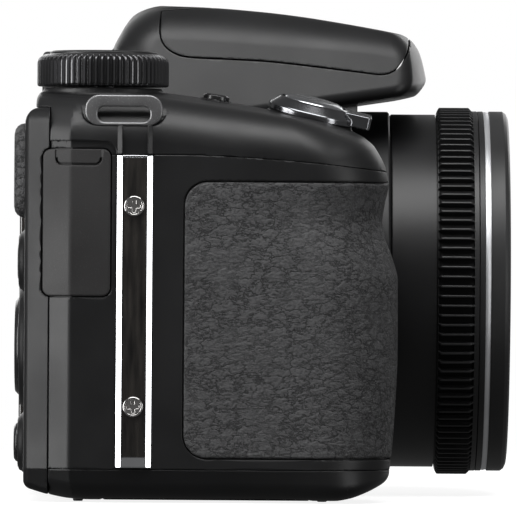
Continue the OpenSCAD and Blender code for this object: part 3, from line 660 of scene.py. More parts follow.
SH = np.eye(4)
SH[:3, :3] = np.array([[math.cos(SL), 0, -math.sin(SL)], [0, 1, 0], [math.sin(SL), 0, math.cos(SL)]]) @ at(0, 0, 0, 13)[:3, :3]
SH[:3, 3] = (-61, -21.6, SZ)


def shutter_local(x, y, z):
    return [SH[0, k] * (x + 61) + SH[1, k] * (y + 21.6) + SH[2, k] * (z - SZ) for k in range(3)]


def body_top(x, y, z):
    F = -y
    ahead = sstep(F, 0, 24)
    r = 2.2 + (5.5 - 1.2 * ahead) * sstep(-x, 40, 66) * (1 - sstep(F, 25, 36)) + 5.6 * sstep(x, 10, 36)
    crown = (0.0019 - 0.0004 * ahead) * np.maximum(-x - 47, 0) ** 2
    d = rmax(plan(x, y, z, 200.0), (z - top_z(F) + crown) * 0.99, r)
    return rmax(d, y - 31.0, np.where(x < 0, 1.0, 2.5))


def grip_zone(x, y, z):
    return np.where(x < -60, rr(y, z, -80, 2.4, 8.1, 60.7, 4.5), rr(y, z, -80, -27, 8.1, 60.7, 1.6))


def door_zone(y, z, g=0.0):
    return rr(y, z, 16.5 - g, 29.5 + g, 38.8 - g, 66.8 + g, 1.6 + g)


def strip_zone(y, z, g=0.0):
    return rr(y, z, 8.5 - g, 15.3 + g, 6.2 - g, 65.7 + g, 0.3)


def carve(d, tool, r):
    return rmax(d, -tool, r)


def door_cut(d, x, y, z, p, r=0.12):
    return carve(d, np.maximum(np.maximum(door_zone(y, z, 0.24), -(p + 1.35)), x + 72), r)


def lens_hole(x, y, z, r):
    return np.maximum(np.hypot(x, z - LZ) - r, y + 8)


def f_front(x, y, z):
    p = plan(x, y, z)
    F = -y
    d = rmax(np.maximum(p, -(p + 2.3)), rmax(5.92 - z, z - part_z(F) + 0.05, 0.1), 0.1)
    d = rmax(d, y - 28.13, 0.12)
    d = carve(d, np.maximum(grip_zone(x, y, z) - 0.24, -(p + 0.85)), 0.12)
    d = carve(d, np.maximum(np.maximum(strip_zone(y, z, 0.12), -(p + 0.8)), x + 75), 0.12)
    d = door_cut(d, x, y, z, p)
    d = carve(d, np.maximum(rr(y, z, 18.6, 24.4, 42, 62, 0.6), x + 74), 0.2)
    d = carve(d, lens_hole(x, y, z, 32.9), 0.15)
    d = carve(d, np.maximum(np.hypot(x - 38.2, z - 58.2) - 2.7, y + 10), 0.35)
    for zz in (56, 17.8):
        d = carve(d, np.maximum(np.hypot(y - 12, z - zz) - 1.05, x + 70), 0.05)
    return d


def f_top(x, y, z):
    p = body_top(x, y, z)
    F = -y
    low = np.minimum(np.maximum(part_z(F) + 0.05 - z, y - 28.13), 74.9 - z)
    d = rmax(np.maximum(p, -(p + 2.2)), low, 0.1)
    # dial turret and the seat of the small button
    rd = np.hypot(x + 60.5, y - 18.5)
    d = rmin(d, rmax(rd - 11.4, np.maximum(z - 78.75, 74.6 - z), 0.25), 0.7)
    d = carve(d, np.maximum(rd - 3.2, 74 - z), 0.1)
    rp = np.hypot(x + 62, y + 3.3)
    d = rmin(d, rmax(rp - 3.1, np.maximum(z - top_z(F) + 0.02, 74 - z), 0.3), 0.5)
    d = carve(d, rp - 2.85, 0.25)
    # low seat under the zoom lever
    u, v, w = shutter_local(x, y, z)
    rs = np.hypot(u, v)
    d = rmin(d, rmax(rs - 8.2, np.maximum(w + 0.06, -w - 5), 0.15), 0.8)
    d = carve(d, rs - 2.3, 0.1)
    # niches of the strap lugs
    for s, x0 in ((-1, 80.2), (1, 42.2)):
        pocket = np.maximum((x0 - 0.4 + 0.58 * (75 - z) - s * x) / 1.156, rr(y, z, 6.2, 22.0, 71.55, 100, 2.6))
        d = carve(d, pocket, 0.35)
    # sunk step above the port door, then its seat
    q = plan(x, y, z)
    d = carve(d, np.maximum(np.maximum(rr(y, z, 15.5, 36, 55, 68.35, 2.2), -(p + 0.45)), x + 72), 0.12)
    d = door_cut(d, x, y, z, q)
    d = carve(d, lens_hole(x, y, z, 32.9), 0.15)
    # well under the viewfinder hump, and the notch of its eyepiece
    d = carve(d, np.maximum(np.maximum(np.abs(x) - 21, np.abs(y - 1.5) - 17), 60 - z), 0.2)
    d = carve(d, np.maximum(np.abs(x) - 16.3, 18 - y), 0.25)
    return d


LANDS = [(-57, 29, 12.4, 9.8), (-66.5, 45.4, 6.2, 4.35), (-66.5, 10.6, 6.0, 4.15), (-46.5, 10.6, 6.0, 4.15), (-46.5, 63, 5.4, 3.75)]


def f_rear(x, y, z):
    p = plan(x, y, z, draft=0.34 * np.maximum(5.82 - z, 0) * sstep(-x, 40, 60))
    o = rmax(rmax(p, z - 74.8, 3.0), (np.interp(-y, BASE_Q, BASE_Z) - z) * 0.96, 1.2)
    d = np.maximum(o, -(o + 2.3))
    d = rmax(d, 28.23 - y, 0.12)
    # raised collars round the pad and the buttons
    for cx, cz, ro, ri in LANDS:
        rd = np.hypot(x - cx, z - cz)
        d = rmin(d, rmax(rd - ro + (y - 33) * 0.9, np.maximum(y - 34.35, 32 - y), 0.35), 0.5)
    for cx, cz, ro, ri in LANDS:
        rd = np.hypot(x - cx, z - cz)
        d = carve(d, np.maximum(rd - ri, 31.6 - y) if ro > 10 else rd - ri, 0.25)
    d = carve(d, np.hypot(x + 57, z - 29) - 5.1, 0.2)
    d = carve(d, np.maximum(rr(x, z, -76.3, -59.7, 53.4, 72.1, 4.2), 32.2 - y), 0.2)
    d = carve(d, rr(x, z, -27, 37, 17, 62, 0.6), 0.2)
    d = door_cut(d, x, y, z, p)
    # small speaker slots beside the pad
    for k in range(4):
        d = carve(d, np.maximum(rr(x, z, -42.4, -37.4, 41.4 + k * 1.8, 42.2 + k * 1.8, 0.39), 32.1 - y), 0.12)
    return d


def f_base(x, y, z):
    p = plan(x, y, np.maximum(z, 5.4), draft=0.34 * np.maximum(5.82 - z, 0) * sstep(-x, 40, 60) * (1 - sstep(-y, 15, 32)))
    F = -y
    low = (np.interp(F, BASE_Q, BASE_Z) - z) * np.where(F > 29, 0.89, 0.99)
    o = rmax(p, low, np.where(x < 0, 3.4, 4.0) * (1 - sstep(F, 24, 37)) + 1.3 * sstep(F, 24, 37))
    d = rmax(np.maximum(o, -(o + 2.0)), z - 5.82, 0.1)
    d = rmax(d, y - 28.13, 0.12)
    d = carve(d, np.maximum(rr(x, y, -78.7, -52.6, -22, 18, 0.8), z - 4), 0.25)
    d = carve(d, np.hypot(x, y) - 6.6, 0.25)
    for a, b in ((-30, 22), (36, 22), (36, -13), (-36, -14)):
        d = carve(d, np.maximum(np.hypot(x - a, y - b) - 2.15, z - 0.9), 0.2)
    return d


def f_skin(x, y, z):
    p = plan(x, y, z)
    return rmax(rmax(p - 0.05, grip_zone(x, y, z), 0.45), np.maximum(-(p + 0.75), x + 44.2), 0.08)


def f_door(x, y, z):
    p = plan(x, y, z)
    o = np.maximum(p, body_top(x, y, z))
    d = rmax(rmax(o, door_zone(y, z), 0.2), -(p + 1.15), 0.1)
    d = np.maximum(d, x + 72)
    lip = rr(y, z, 18.2, 27.1, 63.7, 72, 1.3)
    d = carve(d, np.maximum(lip, -(o + 0.22)), 0.12)
    d = carve(d, np.maximum(np.maximum(np.abs(lip + 0.22) - 0.2, z - 65.2), -(o + 0.75)), 0.06)
    d = rmin(d, rmax(rr(y, z, 19.2, 23.8, 43, 61, 0.8), np.abs(x + 80.75) - 1.2, 0.3), 0.3)
    return d


def f_ridges(x, y, z):
    """Two soft ridges that carry the trim strip's bevels up to the lug."""
    p = body_top(x, y, z)
    d = np.full(x.shape, 1e3)
    for out, k in ((15.3, -1), (8.5, 1)):
        t = (y - out) * k
        d = np.minimum(d, rmax((p - 0.04 - 0.5 * np.clip(t, 0, 1)) * 0.9, np.maximum(np.abs(t - 0.52) - 0.52, -(p + 0.8)), 0.12))
    return rmax(d, np.maximum(65.9 - z, z - 71.45), 0.1)


R = 0.42
moulded("strip_upper_ridges", f_ridges, (-84, 8, 65.4), (-80, 16, 72), 0.16, 0.4, M_BODY, "body", ())
moulded("front_shell_moulding", f_front, (-84, -40, 5), (46, 29, 67), R, 0.16, M_BODY, "body", ["front_shell"])
moulded("top_cover_moulding", f_top, (-84, -38, 62), (46, 32, 80), R, 0.2, M_BODY, "body", ["top_cover"])
moulded("rear_cover_moulding", f_rear, (-84, 27.5, 0), (46, 35, 76), R, 0.2, M_REAR_SHADED, "body", ["rear_cover"])
moulded("base_cover_moulding", f_base, (-84, -39, -1), (46, 29, 7), R, 0.2, M_BODY, "body", ["base_cover"])
moulded("grip_leather_skin", f_skin, (-84, -40, 7), (-43, 4, 62), 0.28, 0.2, M_LEATHER, "body", ["grip_skin"])
moulded("port_door_rubber", f_door, (-84.5, 15, 37), (-76, 31, 69), 0.3, 0.35, M_RUBBER, "port_door", ["port_door"])

# ------------------------------------------------------------------ viewfinder hump and flash lid
HT_Q, HT_Z = table([(-30, 96.9), (-10.5, 96.5), (0.45, 96.2), (11.7, 95.4), (19.7, 94.5), (27.6, 93.3), (35.7, 91.9), (40.5, 90.95), (46, 89.8)], -40, 60)
HF_Q, HF_F = table([(70, 44.6), (79.5, 44.9), (81.2, 45.0), (84, 44.55), (87.3, 43.65), (90.1, 41.9), (92, 40.3), (99, 34)], 60, 105)
HR_Q, HR_F = table([(70, 17.9), (84, 17.85), (87.5, 17.6), (90.6, 16.2), (93.7, 14.2), (95.3, 12.5), (96.6, 10.2), (99, 5)], 60, 105)


def catmull(pts, n=6):
    pts = np.asarray(pts, float)
    out = []
    for i in range(len(pts) - 1):
        p0, p1, p2, p3 = pts[max(i - 1, 0)], pts[i], pts[i + 1], pts[min(i + 2, len(pts) - 1)]
        for k in range(n):
            t = k / n
            out.append(0.5 * (2 * p1 + (p2 - p0) * t + (2 * p0 - 5 * p1 + 4 * p2 - p3) * t * t + (3 * p1 - p0 - 3 * p2 + p3) * t**3))
    return np.array(out + [pts[-1]])


LID = np.vstack([[(-6.8, 110)], catmull([(-7.75, 94.5), (-7.9, 90.6), (-7.2, 88.4), (-5.6, 86.9), (-2.5, 85.9), (6, 85.5), (15, 85), (31.1, 83.2), (35.2, 82.75),
                                        (37.6, 83.2), (39.4, 84.7), (40.6, 86.8), (41.1, 89), (41.25, 91.5)], 5), [(41.5, 110)]])
TONGUE = np.array([(-17.5, 30), (-17.5, 6), (-17.2, 2.5), (-16.2, 0.6), (-14.5, -0.8), (-12.6, -1.6), (-10, -2), (10, -2), (12.6, -1.6), (14.5, -0.8), (16.2, 0.6), (17.2, 2.5), (17.5, 6), (17.5, 30)], float)


def hump(x, y, z):
    F = -y
    a = np.abs(x)
    w = 30.0 - 3.2 * sstep(F, 0, 42) - 0.436 * (z - 77)
    side = (a - w) * 0.916
    top = (z - np.interp(F, HT_Q, HT_Z) + 0.0016 * x * x) * 0.99
    front = (F - np.interp(z, HF_Q, HF_F) + 0.0062 * x * x) * 0.93
    rear = (-F - np.interp(z, HR_Q, HR_F) + 0.002 * x * x) * 0.93
    d = rmax(rmax(side, rear, 7.0), top, 2.6 + 3.7 * sstep(a, 8, 20) - 1.6 * sstep(F, 10, 40))
    d = rmax(d, front, 1.4 + 1.2 * sstep(a, 14, 22))
    under = (77.1 + 0.15 * (F - 31) + 0.9 * sstep(F, 42.5, 45) - z) * 0.985
    neck = np.maximum(np.maximum(F - 31, a - w + 2.6), 66 - z)
    low = rmin(under, neck, 0.6)
    d = rmax(d, low, 2.4)
    return d


def f_lid(x, y, z):
    h = hump(x, y, z)
    d = rmax(h, poly2(-y, z, LID), 0.1)
    d = carve(d, poly2(x, y, TONGUE) - 0.6, 0.12)
    cav = np.maximum(np.abs(x) - 17.2, poly2(y, z, [(-4.6, 78), (-4.6, 92.4), (-19.7, 91.2), (-37, 88.4), (-37, 78)]))
    d = carve(d, cav, 0.3)
    d = carve(d, np.maximum(np.maximum(np.abs(x) - 15.6, np.abs(z - 86.2) - 1.8), y + 36), 0.15)
    d = carve(d, np.maximum(np.hypot(y - 2, z - 94.1) - 0.76, np.abs(x) - 17.6), 0.05)
    return d


def f_hump(x, y, z):
    h = hump(x, y, z)
    F = -y
    d = carve(h, np.maximum(poly2(F, z, LID) - 0.24, -poly2(x, y, TONGUE)), 0.1)
    # eyepiece block
    eye = rmax(rmax(np.abs(x) - 16, np.abs(z - 80.3) - 6.9, 2.2), np.maximum(y - 28.9, 12 - y), 0.6)
    d = rmin(d, eye, 1.0)
    d = np.maximum(d, top_z(np.minimum(F, 20)) - 1.6 - z)
    d = carve(d, np.maximum(np.hypot(x, z - LZ) - 35.9, y + 12), 0.3)
    # hollows: under the flash, and the viewfinder tunnel
    d = carve(d, np.maximum(np.abs(x) - 22, poly2(y, z, [(-19, 60), (-19, 82.2), (14.5, 83.8), (14.5, 60)])), 0.3)
    d = carve(d, np.maximum(rr(x, z, -11, 11, 75.5, 85, 0.8), np.maximum(12 - y, y - 40)), 0.3)
    # release button, dioptre wheel, hinge pins
    d = carve(d, np.maximum(np.hypot(y + 4, z - 79.7) - 2.75, 20 - x), 0.3)
    d = carve(d, np.maximum(np.hypot(y - 23.5, z - 80.5) - 5.2, np.abs(x - 14.9) - 2.4), 0.2)
    d = carve(d, np.maximum(np.hypot(y - 2, z - 94.1) - 0.72, np.abs(x) - 17.6), 0.05)
    return d


moulded("viewfinder_hump", f_hump, (-31, -46, 66), (31, 30, 98), 0.34, 0.24, M_BODY, "body", ["viewfinder_housing"])
moulded("flash_lid_moulding", f_lid, (-29, -43, 81), (29, 9.5, 98), 0.3, 0.22, M_BODY, "flash_lid", ["flash_lid"])


# ------------------------------------------------------------------ lens
def lens_ring(name, prof, mat, node, body="body", seg=220, shape=None, sharp=28.0):
    pts = soften([*prof, prof[0]], 3)[:-1]
    return solid(name, turn(pts, LENS, seg, shape), mat, body, [node], sharp=sharp)


lens_ring("lens_collar_ring", [(32.9, 28), (32.9, 20.06), (35.1, 20.06, 0.2), (35.7, 20.7, 0.3), (35.7, 37.2, 0.25), (35.3, 37.6, 0.2), (32.9, 37.6)], M_BODY, "lens_collar")
lens_ring("lens_outer_barrel", [(32.7, 45), (32.7, 37.66), (34.85, 37.66, 0.12), (35.2, 38.0, 0.2), (35.2, 46.72, 0.1), (33.9, 46.72), (33.9, 56.2), (32.7, 56.2)], M_BAND, "outer_barrel")


def knurl(count, depth, h0, h1, end, lo=0.24, hi=0.62):
    """Rounded ribs along the axis between h0 and h1, rounded off over a length end."""
    def shape(th, r, h):
        fr = (th * count / (2 * math.pi)) % 1.0
        tw = 1 - np.abs(2 * fr - 1)
        rib = sstep(tw, lo, hi)
        w = 1.0 if h0 <= h <= h1 else max(0.0, 1 - ((h0 - h) if h < h0 else (h - h1)) / end)
        w = math.sqrt(max(0.0, 1 - (1 - w) ** 2))
        return r - depth * (1 - rib * w) if depth else r
    return shape


def ribbed_ring():
    hs = [47.0, 47.1, 47.3, 47.5, 47.65, 48.0, 51, 53.1, 53.35, 53.5, 53.75, 54.0, 54.06, 54.12, 55.0, 55.1]
    top = [35.4, 35.75, 36.2, 36.52, 36.6, 36.6, 36.6, 36.6, 36.6, 36.52, 36.26, 36.0, 35.95, 35.92, 35.92, 35.8]
    prof = [(34.0, 55.1), (34.0, 47.0)] + list(zip(top, hs))

    def shape(th, r, h):
        if r < 35 or h > 54.1:
            return np.full(len(th), r)
        fr = (th * 120 / (2 * math.pi)) % 1.0
        tw = 1 - np.abs(2 * fr - 1)
        rib = sstep(tw, 0.66, 0.82)
        return np.minimum(r, np.maximum(r - 1.3 * (1 - rib), 35.3))
    return turn(prof, LENS, 2400, shape)


solid("lens_focus_ring", ribbed_ring(), M_RING, "focus_ring", ["focus_ring"], sharp=45)
# dark sleeve under the ribs that shows in the gaps: painted shade on the groove floors
groove_shade_liner = soften([(34.6, 47.12), (35.36, 47.12, 0.1), (35.56, 47.4, 0.1), (35.56, 53.9, 0.1), (35.4, 54.08), (34.6, 54.08)], 3)
solid("lens_focus_ring_groove_shade", turn([*groove_shade_liner, groove_shade_liner[0]][:-1], LENS, 220), M_GROOVE_SHADE, "focus_ring", ())
lens_ring("lens_nose_ring", [(33.96, 56.3), (33.96, 55.2), (35.9, 55.2, 0.06), (35.9, 56.27, 0.08), (35.16, 56.27), (35.16, 60), (32.7, 60), (32.7, 56.3)], M_RING, "nose_ring")
lens_ring("lens_trim_ring", [(35.17, 57.4), (35.17, 56.28), (35.72, 56.28, 0.05), (35.8, 56.7, 0.3), (35.62, 57.4, 0.04)], M_SILVER, "trim_ring")
lens_ring("lens_front_rim", [(35.18, 60.05), (35.18, 57.44), (35.9, 57.44, 0.1), (35.9, 60.15, 0.25), (35.45, 60.8, 0.25), (34.6, 61.2, 0.3), (33.4, 61.2, 0.25), (32.75, 60.5, 0.1), (32.75, 60.05)], M_RIM, "front_bezel")
groove = lambda h: [(32.0, h - 0.25, 0.05), (31.85, h - 0.12, 0.05), (31.85, h + 0.12, 0.05), (32.0, h + 0.25, 0.05)]
lens_ring("lens_middle_barrel", [(30.75, 17), (30.75, 16.1), (32.0, 16.1), *groove(34), *groove(45), (32.0, 58.1, 0.2), (31.7, 58.4, 0.1), (31.2, 58.4, 0.1), (30.75, 58.0, 0.1)], M_BAND, "middle_barrel", "middle_barrel")
lens_ring("lens_inner_barrel", [(28.4, 18), (28.4, 16.8), (30.1, 16.8), (30.1, 41.7, 0.05), (29.95, 41.9, 0.05), (29.95, 42.2, 0.05), (30.1, 42.4, 0.05), (30.1, 57, 0.1), (28.4, 57)], M_BAND, "inner_barrel", "inner_barrel")
steps = []
for k in range(6):  # light-trap steps inside the front ring
    a = k / 6
    steps += [(28.5 - 2.4 * a, 59.6 - 1.75 * a, 0.03), (28.5 - 2.4 * a - 0.24, 59.6 - 1.75 * a - 0.04, 0.03), (28.5 - 2.4 * a - 0.26, 59.6 - 1.75 * a - 0.28, 0.03)]
lens_ring("lens_front_retainer", [(26.0, 57.06), (30.1, 57.06), (30.1, 59.4, 0.2), (29.7, 59.8, 0.2), (28.7, 59.8, 0.1), *steps, (26.0, 57.6)], M_RING, "front_retainer", "inner_barrel")
front = [(0, 57.5), *[(r, 57.5 - 3.1 * (r / 25.6) ** 2 * (0.92 + 0.08 * (r / 25.6) ** 2)) for r in np.linspace(1.2, 25.6, 22)], (28.2, 53.4), (28.2, 50.5), *[(r, 48.5 + 2.0 * (r / 28.2) ** 2) for r in np.linspace(27, 1.2, 16)], (0, 48.5)]
solid("front_lens_glass", turn(front, LENS, 160, closed=False), M_GLASS, "inner_barrel", ["front_element"], sharp=40)


# ------------------------------------------------------------------ top controls
def dial():
    hs = [79.1, 79.2, 79.4, 80.0, 81.0, 83.4, 83.7, 84.0, 84.25, 84.5, 84.7, 84.85, 84.95, 85.1]
    rs = [12.3, 12.55, 12.68, 12.7, 12.7, 12.7, 12.68, 12.62, 12.53, 12.38, 12.2, 12.02, 11.85, 11.6]
    prof = [(2.9, 79.1)] + list(zip(rs, hs)) + [(11.3, 85.28), (10.6, 85.4), (10.42, 85.38), (10.4, 85.05), (2.9, 85.05)]

    def shape(th, r, h):
        # hollow flutes with arched upper ends and narrow ridges between
        if r < 11.5:
            return np.full(len(th), r)
        u = 2 * ((th * 66 / (2 * math.pi)) % 1.0) - 1
        w = 1.0 if h < 83.7 else math.sqrt(max(0.0, 1 - ((h - 83.7) / 1.3) ** 2))
        deep = 0.72 * w
        return r - deep * np.maximum(0, 1 - (u / (0.86 * max(w, 0.03))) ** 2)
    return turn(prof, at(-60.5, 18.5, 0), 66 * 14, shape)


solid("mode_dial_ribbed", dial(), M_DIAL, "mode_dial", ["mode_dial"], sharp=50)
cap = soften([(0, 85.88), (8.6, 85.95, 2), (9.6, 86.0, 0.3), (10.28, 85.75, 0.2), (10.3, 85.05, 0.1), (0, 85.05)], 4)
solid("mode_dial_cap", turn(cap, at(-60.5, 18.5, 0), 120, closed=False), M_RING, "mode_dial", ["dial_cap"])

def f_lever(x, y, z):
    u, v, w = shutter_local(x, y, z)
    r = np.hypot(u, v)
    d = rmax(r - 8.5, 0.02 - w, 0.12)
    d = rmax(rmax(d, (r - 8.5) * 0.651 + (w - 1.15) * 0.759, 0.16), w - 2.9, 0.3)
    # thumb tab to the front
    tab = rmax(rmax((np.abs(u) - 4.4 - 0.1 * v) * 0.995, -v - 11.5, 0.8), np.maximum(np.maximum(w - 2.6, 0.05 - w), v), 0.25)
    d = rmin(d, tab, 0.4)
    return carve(d, r - 6.26, 0.12)


moulded("zoom_lever_ring", f_lever, (-71, -36, 66), (-51, -11, 82), 0.13, 0.45, M_GUN, "zoom_lever", ["zoom_lever"])
sb = soften([(0, 3.5), (2.6, 3.46, 6.0), (4.6, 3.34, 3.0), (5.55, 3.0, 0.8), (5.9, 2.5, 0.3), (5.9, 2.1), (2, 2.1), (2, -6), (0, -6)], 6)
solid("shutter_release", turn(sb, SH, 144, closed=False), M_SATIN, "shutter_button", ["shutter_button"])
PW = at(-62, -3.3, float(top_z(np.array(3.3))), 8.6)
pb = soften([(0, 0.78), (1.6, 0.84, 0.5), (2.1, 0.9, 0.2), (2.5, 0.6, 0.2), (2.55, 0.2, 0.1), (2.55, -6), (0, -6)], 4)
solid("power_switch_button", turn(pb, PW, 90, closed=False), M_SEMI, "power_button", ["power_button"])


# ------------------------------------------------------------------ side trim
def plate_rows(outer, inset, depth0, depth1, n=4, b=0.3):
    """Loops of (a, b, h): a bevelled rise from depth0 to depth1. outer(i) gives the outline moved inward by i."""
    rows = [np.column_stack([outer(inset), np.full(len(outer(inset)), depth0)])]
    for k in range(n + 1):
        t = k / n * math.pi / 2
        i = inset + b * (1 - math.cos(t))
        rows.append(np.column_stack([outer(i), np.full(len(outer(i)), depth1 - b + b * math.sin(t))]))
    return rows


def to_side(q, x, s=-1):
    """(y, z, height out of the side) to the frame, the side plane at x, out along s X."""
    q = np.asarray(q)
    return np.column_stack([x + s * q[:, 2], q[:, 0], q[:, 1]])


def to_rear(q, y):
    q = np.asarray(q)
    return np.column_stack([q[:, 0], y + q[:, 2], q[:, 1]])


def strip_frame():
    # long bright bevels and a fine line at the upper end
    rows = [(0, 0, 0, -0.75), (0, 0, 0, 0.02), (0.06, 0.03, 0.02, 0.1), (1.0, 0.16, 0.05, 0.62), (1.12, 0.24, 0.1, 0.62), (1.16, 0.28, 0.12, 0.5), (1.16, 0.28, 0.12, -0.75)]
    loops = []
    for i, t, b, h in rows:
        q = rrect(8.5 + i, 15.3 - i, 6.2 + b, 65.7 - t, 0.1, 2)
        loops.append(to_side(np.column_stack([q, np.full(len(q), h)]), -82.95))
    # scooped lower end between the bevels
    curl = np.array([(8.15, -0.6), (8.15, 0.1), (7.75, 0.14), (7.35, 0.22), (7.0, 0.33), (6.7, 0.44), (6.45, 0.53), (6.3, 0.5), (6.24, 0.3), (6.24, -0.6)])
    bar = np.array([(65.64, -0.6), (65.64, 0.33), (65.3, 0.56), (65.16, 0.56), (65.16, -0.6)])
    ends = [[to_side(np.column_stack([np.full(len(q), yy), q]), -82.95) for yy in (9.55, 14.25)] for q in (curl, bar)]
    return join([strip(loops, closed=True), *[strip(q, cap0=True, cap1=True) for q in ends]])


def strip_panel():
    o = lambda i: rrect(9.68 + i, 14.12 - i, 8.17 + i, 65.4 - i, 0.15, 3)
    rows = plate_rows(o, 0, -0.75, 0.5, 3, 0.12)
    loops = [to_side(q, -82.95) for q in rows]
    return strip(loops, cap0=True, cap1=True)


solid("side_strip_bright_edge", strip_frame(), M_CHROME, "body", ["side_strip"], sharp=6)
solid("side_strip_panel", strip_panel(), M_PANEL, "body", (), sharp=20)


def screw(cy, cz, x0, turned):
    c, s = math.cos(math.radians(turned)), math.sin(math.radians(turned))

    def f(x, y, z):
        u, v = (y - cy) * c + (z - cz) * s, -(y - cy) * s + (z - cz) * c
        r = np.hypot(u, v)
        h = -(x - x0)
        d = rmax(r - 1.95, np.maximum(h - 0.66, -0.6 - h), 0.24)
        d = carve(d, np.maximum(r - 1.52, 0.5 - h), 0.1)
        cross = np.minimum(rmax(np.abs(u) - 0.26 - 0.1 * h, np.abs(v) - 1.15, 0.12), rmax(np.abs(v) - 0.26 - 0.1 * h, np.abs(u) - 1.15, 0.12))
        cross = np.minimum(cross, r - 0.52)
        return carve(d, np.maximum(cross, 0.02 - h), 0.1)
    return f


for k, (zz, a) in enumerate(((56, 2), (17.8, -3))):
    moulded(f"strip_screw_head_{k + 1}", screw(12, zz, -83.47, a), (-84.4, 9.8, zz - 2.2), (-82.6, 14.2, zz + 2.2), 0.09, 0.5, M_STEEL, "body", ["strip_screws"] if k == 0 else ())


def lug_loops(s, x_out):
    def o(i):
        return rrect(6.7 + i, 21.5 - i, 71.3 + 0.5 * i, 77.2 - i, 2.7 - i, 8)

    def c(i):
        return rrect(9.1 - i, 19.1 + i, 72.0 - i, 74.95 + i, 1.35 + i, 8)
    rows = [(o(0), -0.35)]
    b = 0.38
    for k in range(5):
        t = k / 4 * math.pi / 2
        rows.append((o(b * (1 - math.cos(t))), -b + b * math.sin(t)))
    for k in range(5):
        t = k / 4 * math.pi / 2
        rows.append((c(b * (1 - math.sin(t))), -b + b * math.cos(t)))
    rows += [(c(0), -0.8), (c(0), -1.3), (c(0.2), -1.6), (o(0.2), -1.6), (o(0), -1.3)]
    return [to_side(np.column_stack([q, np.full(len(q), h)]), x_out, s) for q, h in rows]


solid("strap_lug_grip_side", strip(lug_loops(-1, -82.55), closed=True), M_CAST, "body", ["strap_lugs"], sharp=40)
solid("strap_lug_far_side", strip(lug_loops(1, 44.55), closed=True), M_CAST, "body", (), sharp=40)


# ------------------------------------------------------------------ rear
def rear_plate(name, outer, y0, y1, b, mat, body, nodes, dome=0.0):
    rows = plate_rows(outer, 0, y0, y1, 4, b)
    loops = [to_rear(q, 0) for q in rows]
    return solid(name, strip(loops, cap0=True, cap1=True), mat, body, nodes)


def rear_ring(name, outer, inner, y0, y1, b, mat, body, nodes):
    rows = [(outer(0), y0)]
    for k in range(5):
        t = k / 4 * math.pi / 2
        rows.append((outer(b * (1 - math.cos(t))), y1 - b + b * math.sin(t)))
    for k in range(5):
        t = k / 4 * math.pi / 2
        rows.append((inner(-b * (1 - math.sin(t))), y1 - b + b * math.cos(t)))
    rows.append((inner(0), y0))
    loops = [to_rear(np.column_stack([q, np.full(len(q), h)]), 0) for q, h in rows]
    return solid(name, strip(loops, closed=True), mat, body, nodes)


rear_ring("display_frame", lambda i: rrect(-33 + i, 42 - i, 4.2 + i, 71 - i, max(2.5 - i, 0.2)), lambda i: rrect(-29.3 + i, 39.3 - i, 14.4 + i, 64.6 - i, max(1.0 - i, 0.2)), 33.05, 35.2, 0.7, M_GLOSS, "body", ["lcd_frame"])
rear_plate("display_window", lambda i: rrect(-29.1 + i, 39.1 - i, 14.6 + i, 64.4 - i, max(0.9 - i, 0.1)), 33.85, 35.02, 0.15, M_SCREEN, "body", ["lcd_window"])
rear_plate("thumb_rest_pad", lambda i: rrect(-76 + i, -60 - i, 53.7 + i, 71.8 - i, max(4 - i, 0.6)), 32.25, 35.15, 2.0, M_LEATHER, "body", ["thumb_rest"])
rear_ring("eyecup_rubber", lambda i: rrect(-15.6 + i, 15.6 - i, 74.2 + i, 87 - i, max(3.2 - i, 0.4)), lambda i: rrect(-10.4 + i, 10.4 - i, 76.2 + i, 84.6 - i, max(2 - i, 0.3)), 29.0, 31.4, 0.9, M_RUBBER, "body", ["eyecup"])
rear_plate("eyepiece_glass", lambda i: rrect(-10.8 + i, 10.8 - i, 75.7 + i, 84.8 - i, max(1.0 - i, 0.2)), 26.0, 28.4, 0.2, M_GLASS, "body", ["eyepiece_lens"])


def button(name, cx, cz, r, top, mat, node, foot=28.7, dish=0.18):
    prof = soften([(0, top - dish), (r * 0.55, top - dish * 0.55, 2), (r - 0.75, top - 0.02, 0.5), (r - 0.12, top - 0.45, 0.35), (r, top - 1.1, 0.2), (r, 29.2), (r - 0.8, 29.2), (r - 0.8, foot), (0, foot)], 4)
    solid(name, turn(prof, rearward(cx, cz), 96, closed=False), mat, node, [node])


for nm, cx, cz, r in (("menu", -66.5, 45.4, 4.0), ("play", -66.5, 10.6, 3.8), ("delete", -46.5, 10.6, 3.8), ("record", -46.5, 63.0, 3.4)):
    button(nm + "_key", cx, cz, r, 35.1 if cz < 20 else 34.55, M_RED if nm == "record" else M_SEMI, nm + "_button")
nav = soften([(3.9, 35.0, 0), (3.9, 29.6), (4.6, 29.6), (4.6, 32.4), (9.3, 32.4, 0.1), (9.4, 32.6, 0.1), (9.4, 34.5, 0.4), (8.7, 35.2, 0.4), (6.4, 34.75, 1.5), (4.3, 35.0, 0.3), (3.9, 34.9)], 4)[:-1]


solid("four_way_pad", turn(nav, rearward(-57, 29), 144), M_SEMI, "nav_pad", ["nav_pad"])
setp = soften([(0, 34.92), (2.2, 35.0, 1), (3.1, 35.08, 0.3), (3.55, 34.75, 0.2), (3.6, 34.2, 0.1), (3.6, 26.9), (0, 26.9)], 4)
solid("set_key", turn(setp, rearward(-57, 29), 90, closed=False), M_SEMI, "set_button", ["set_button"])
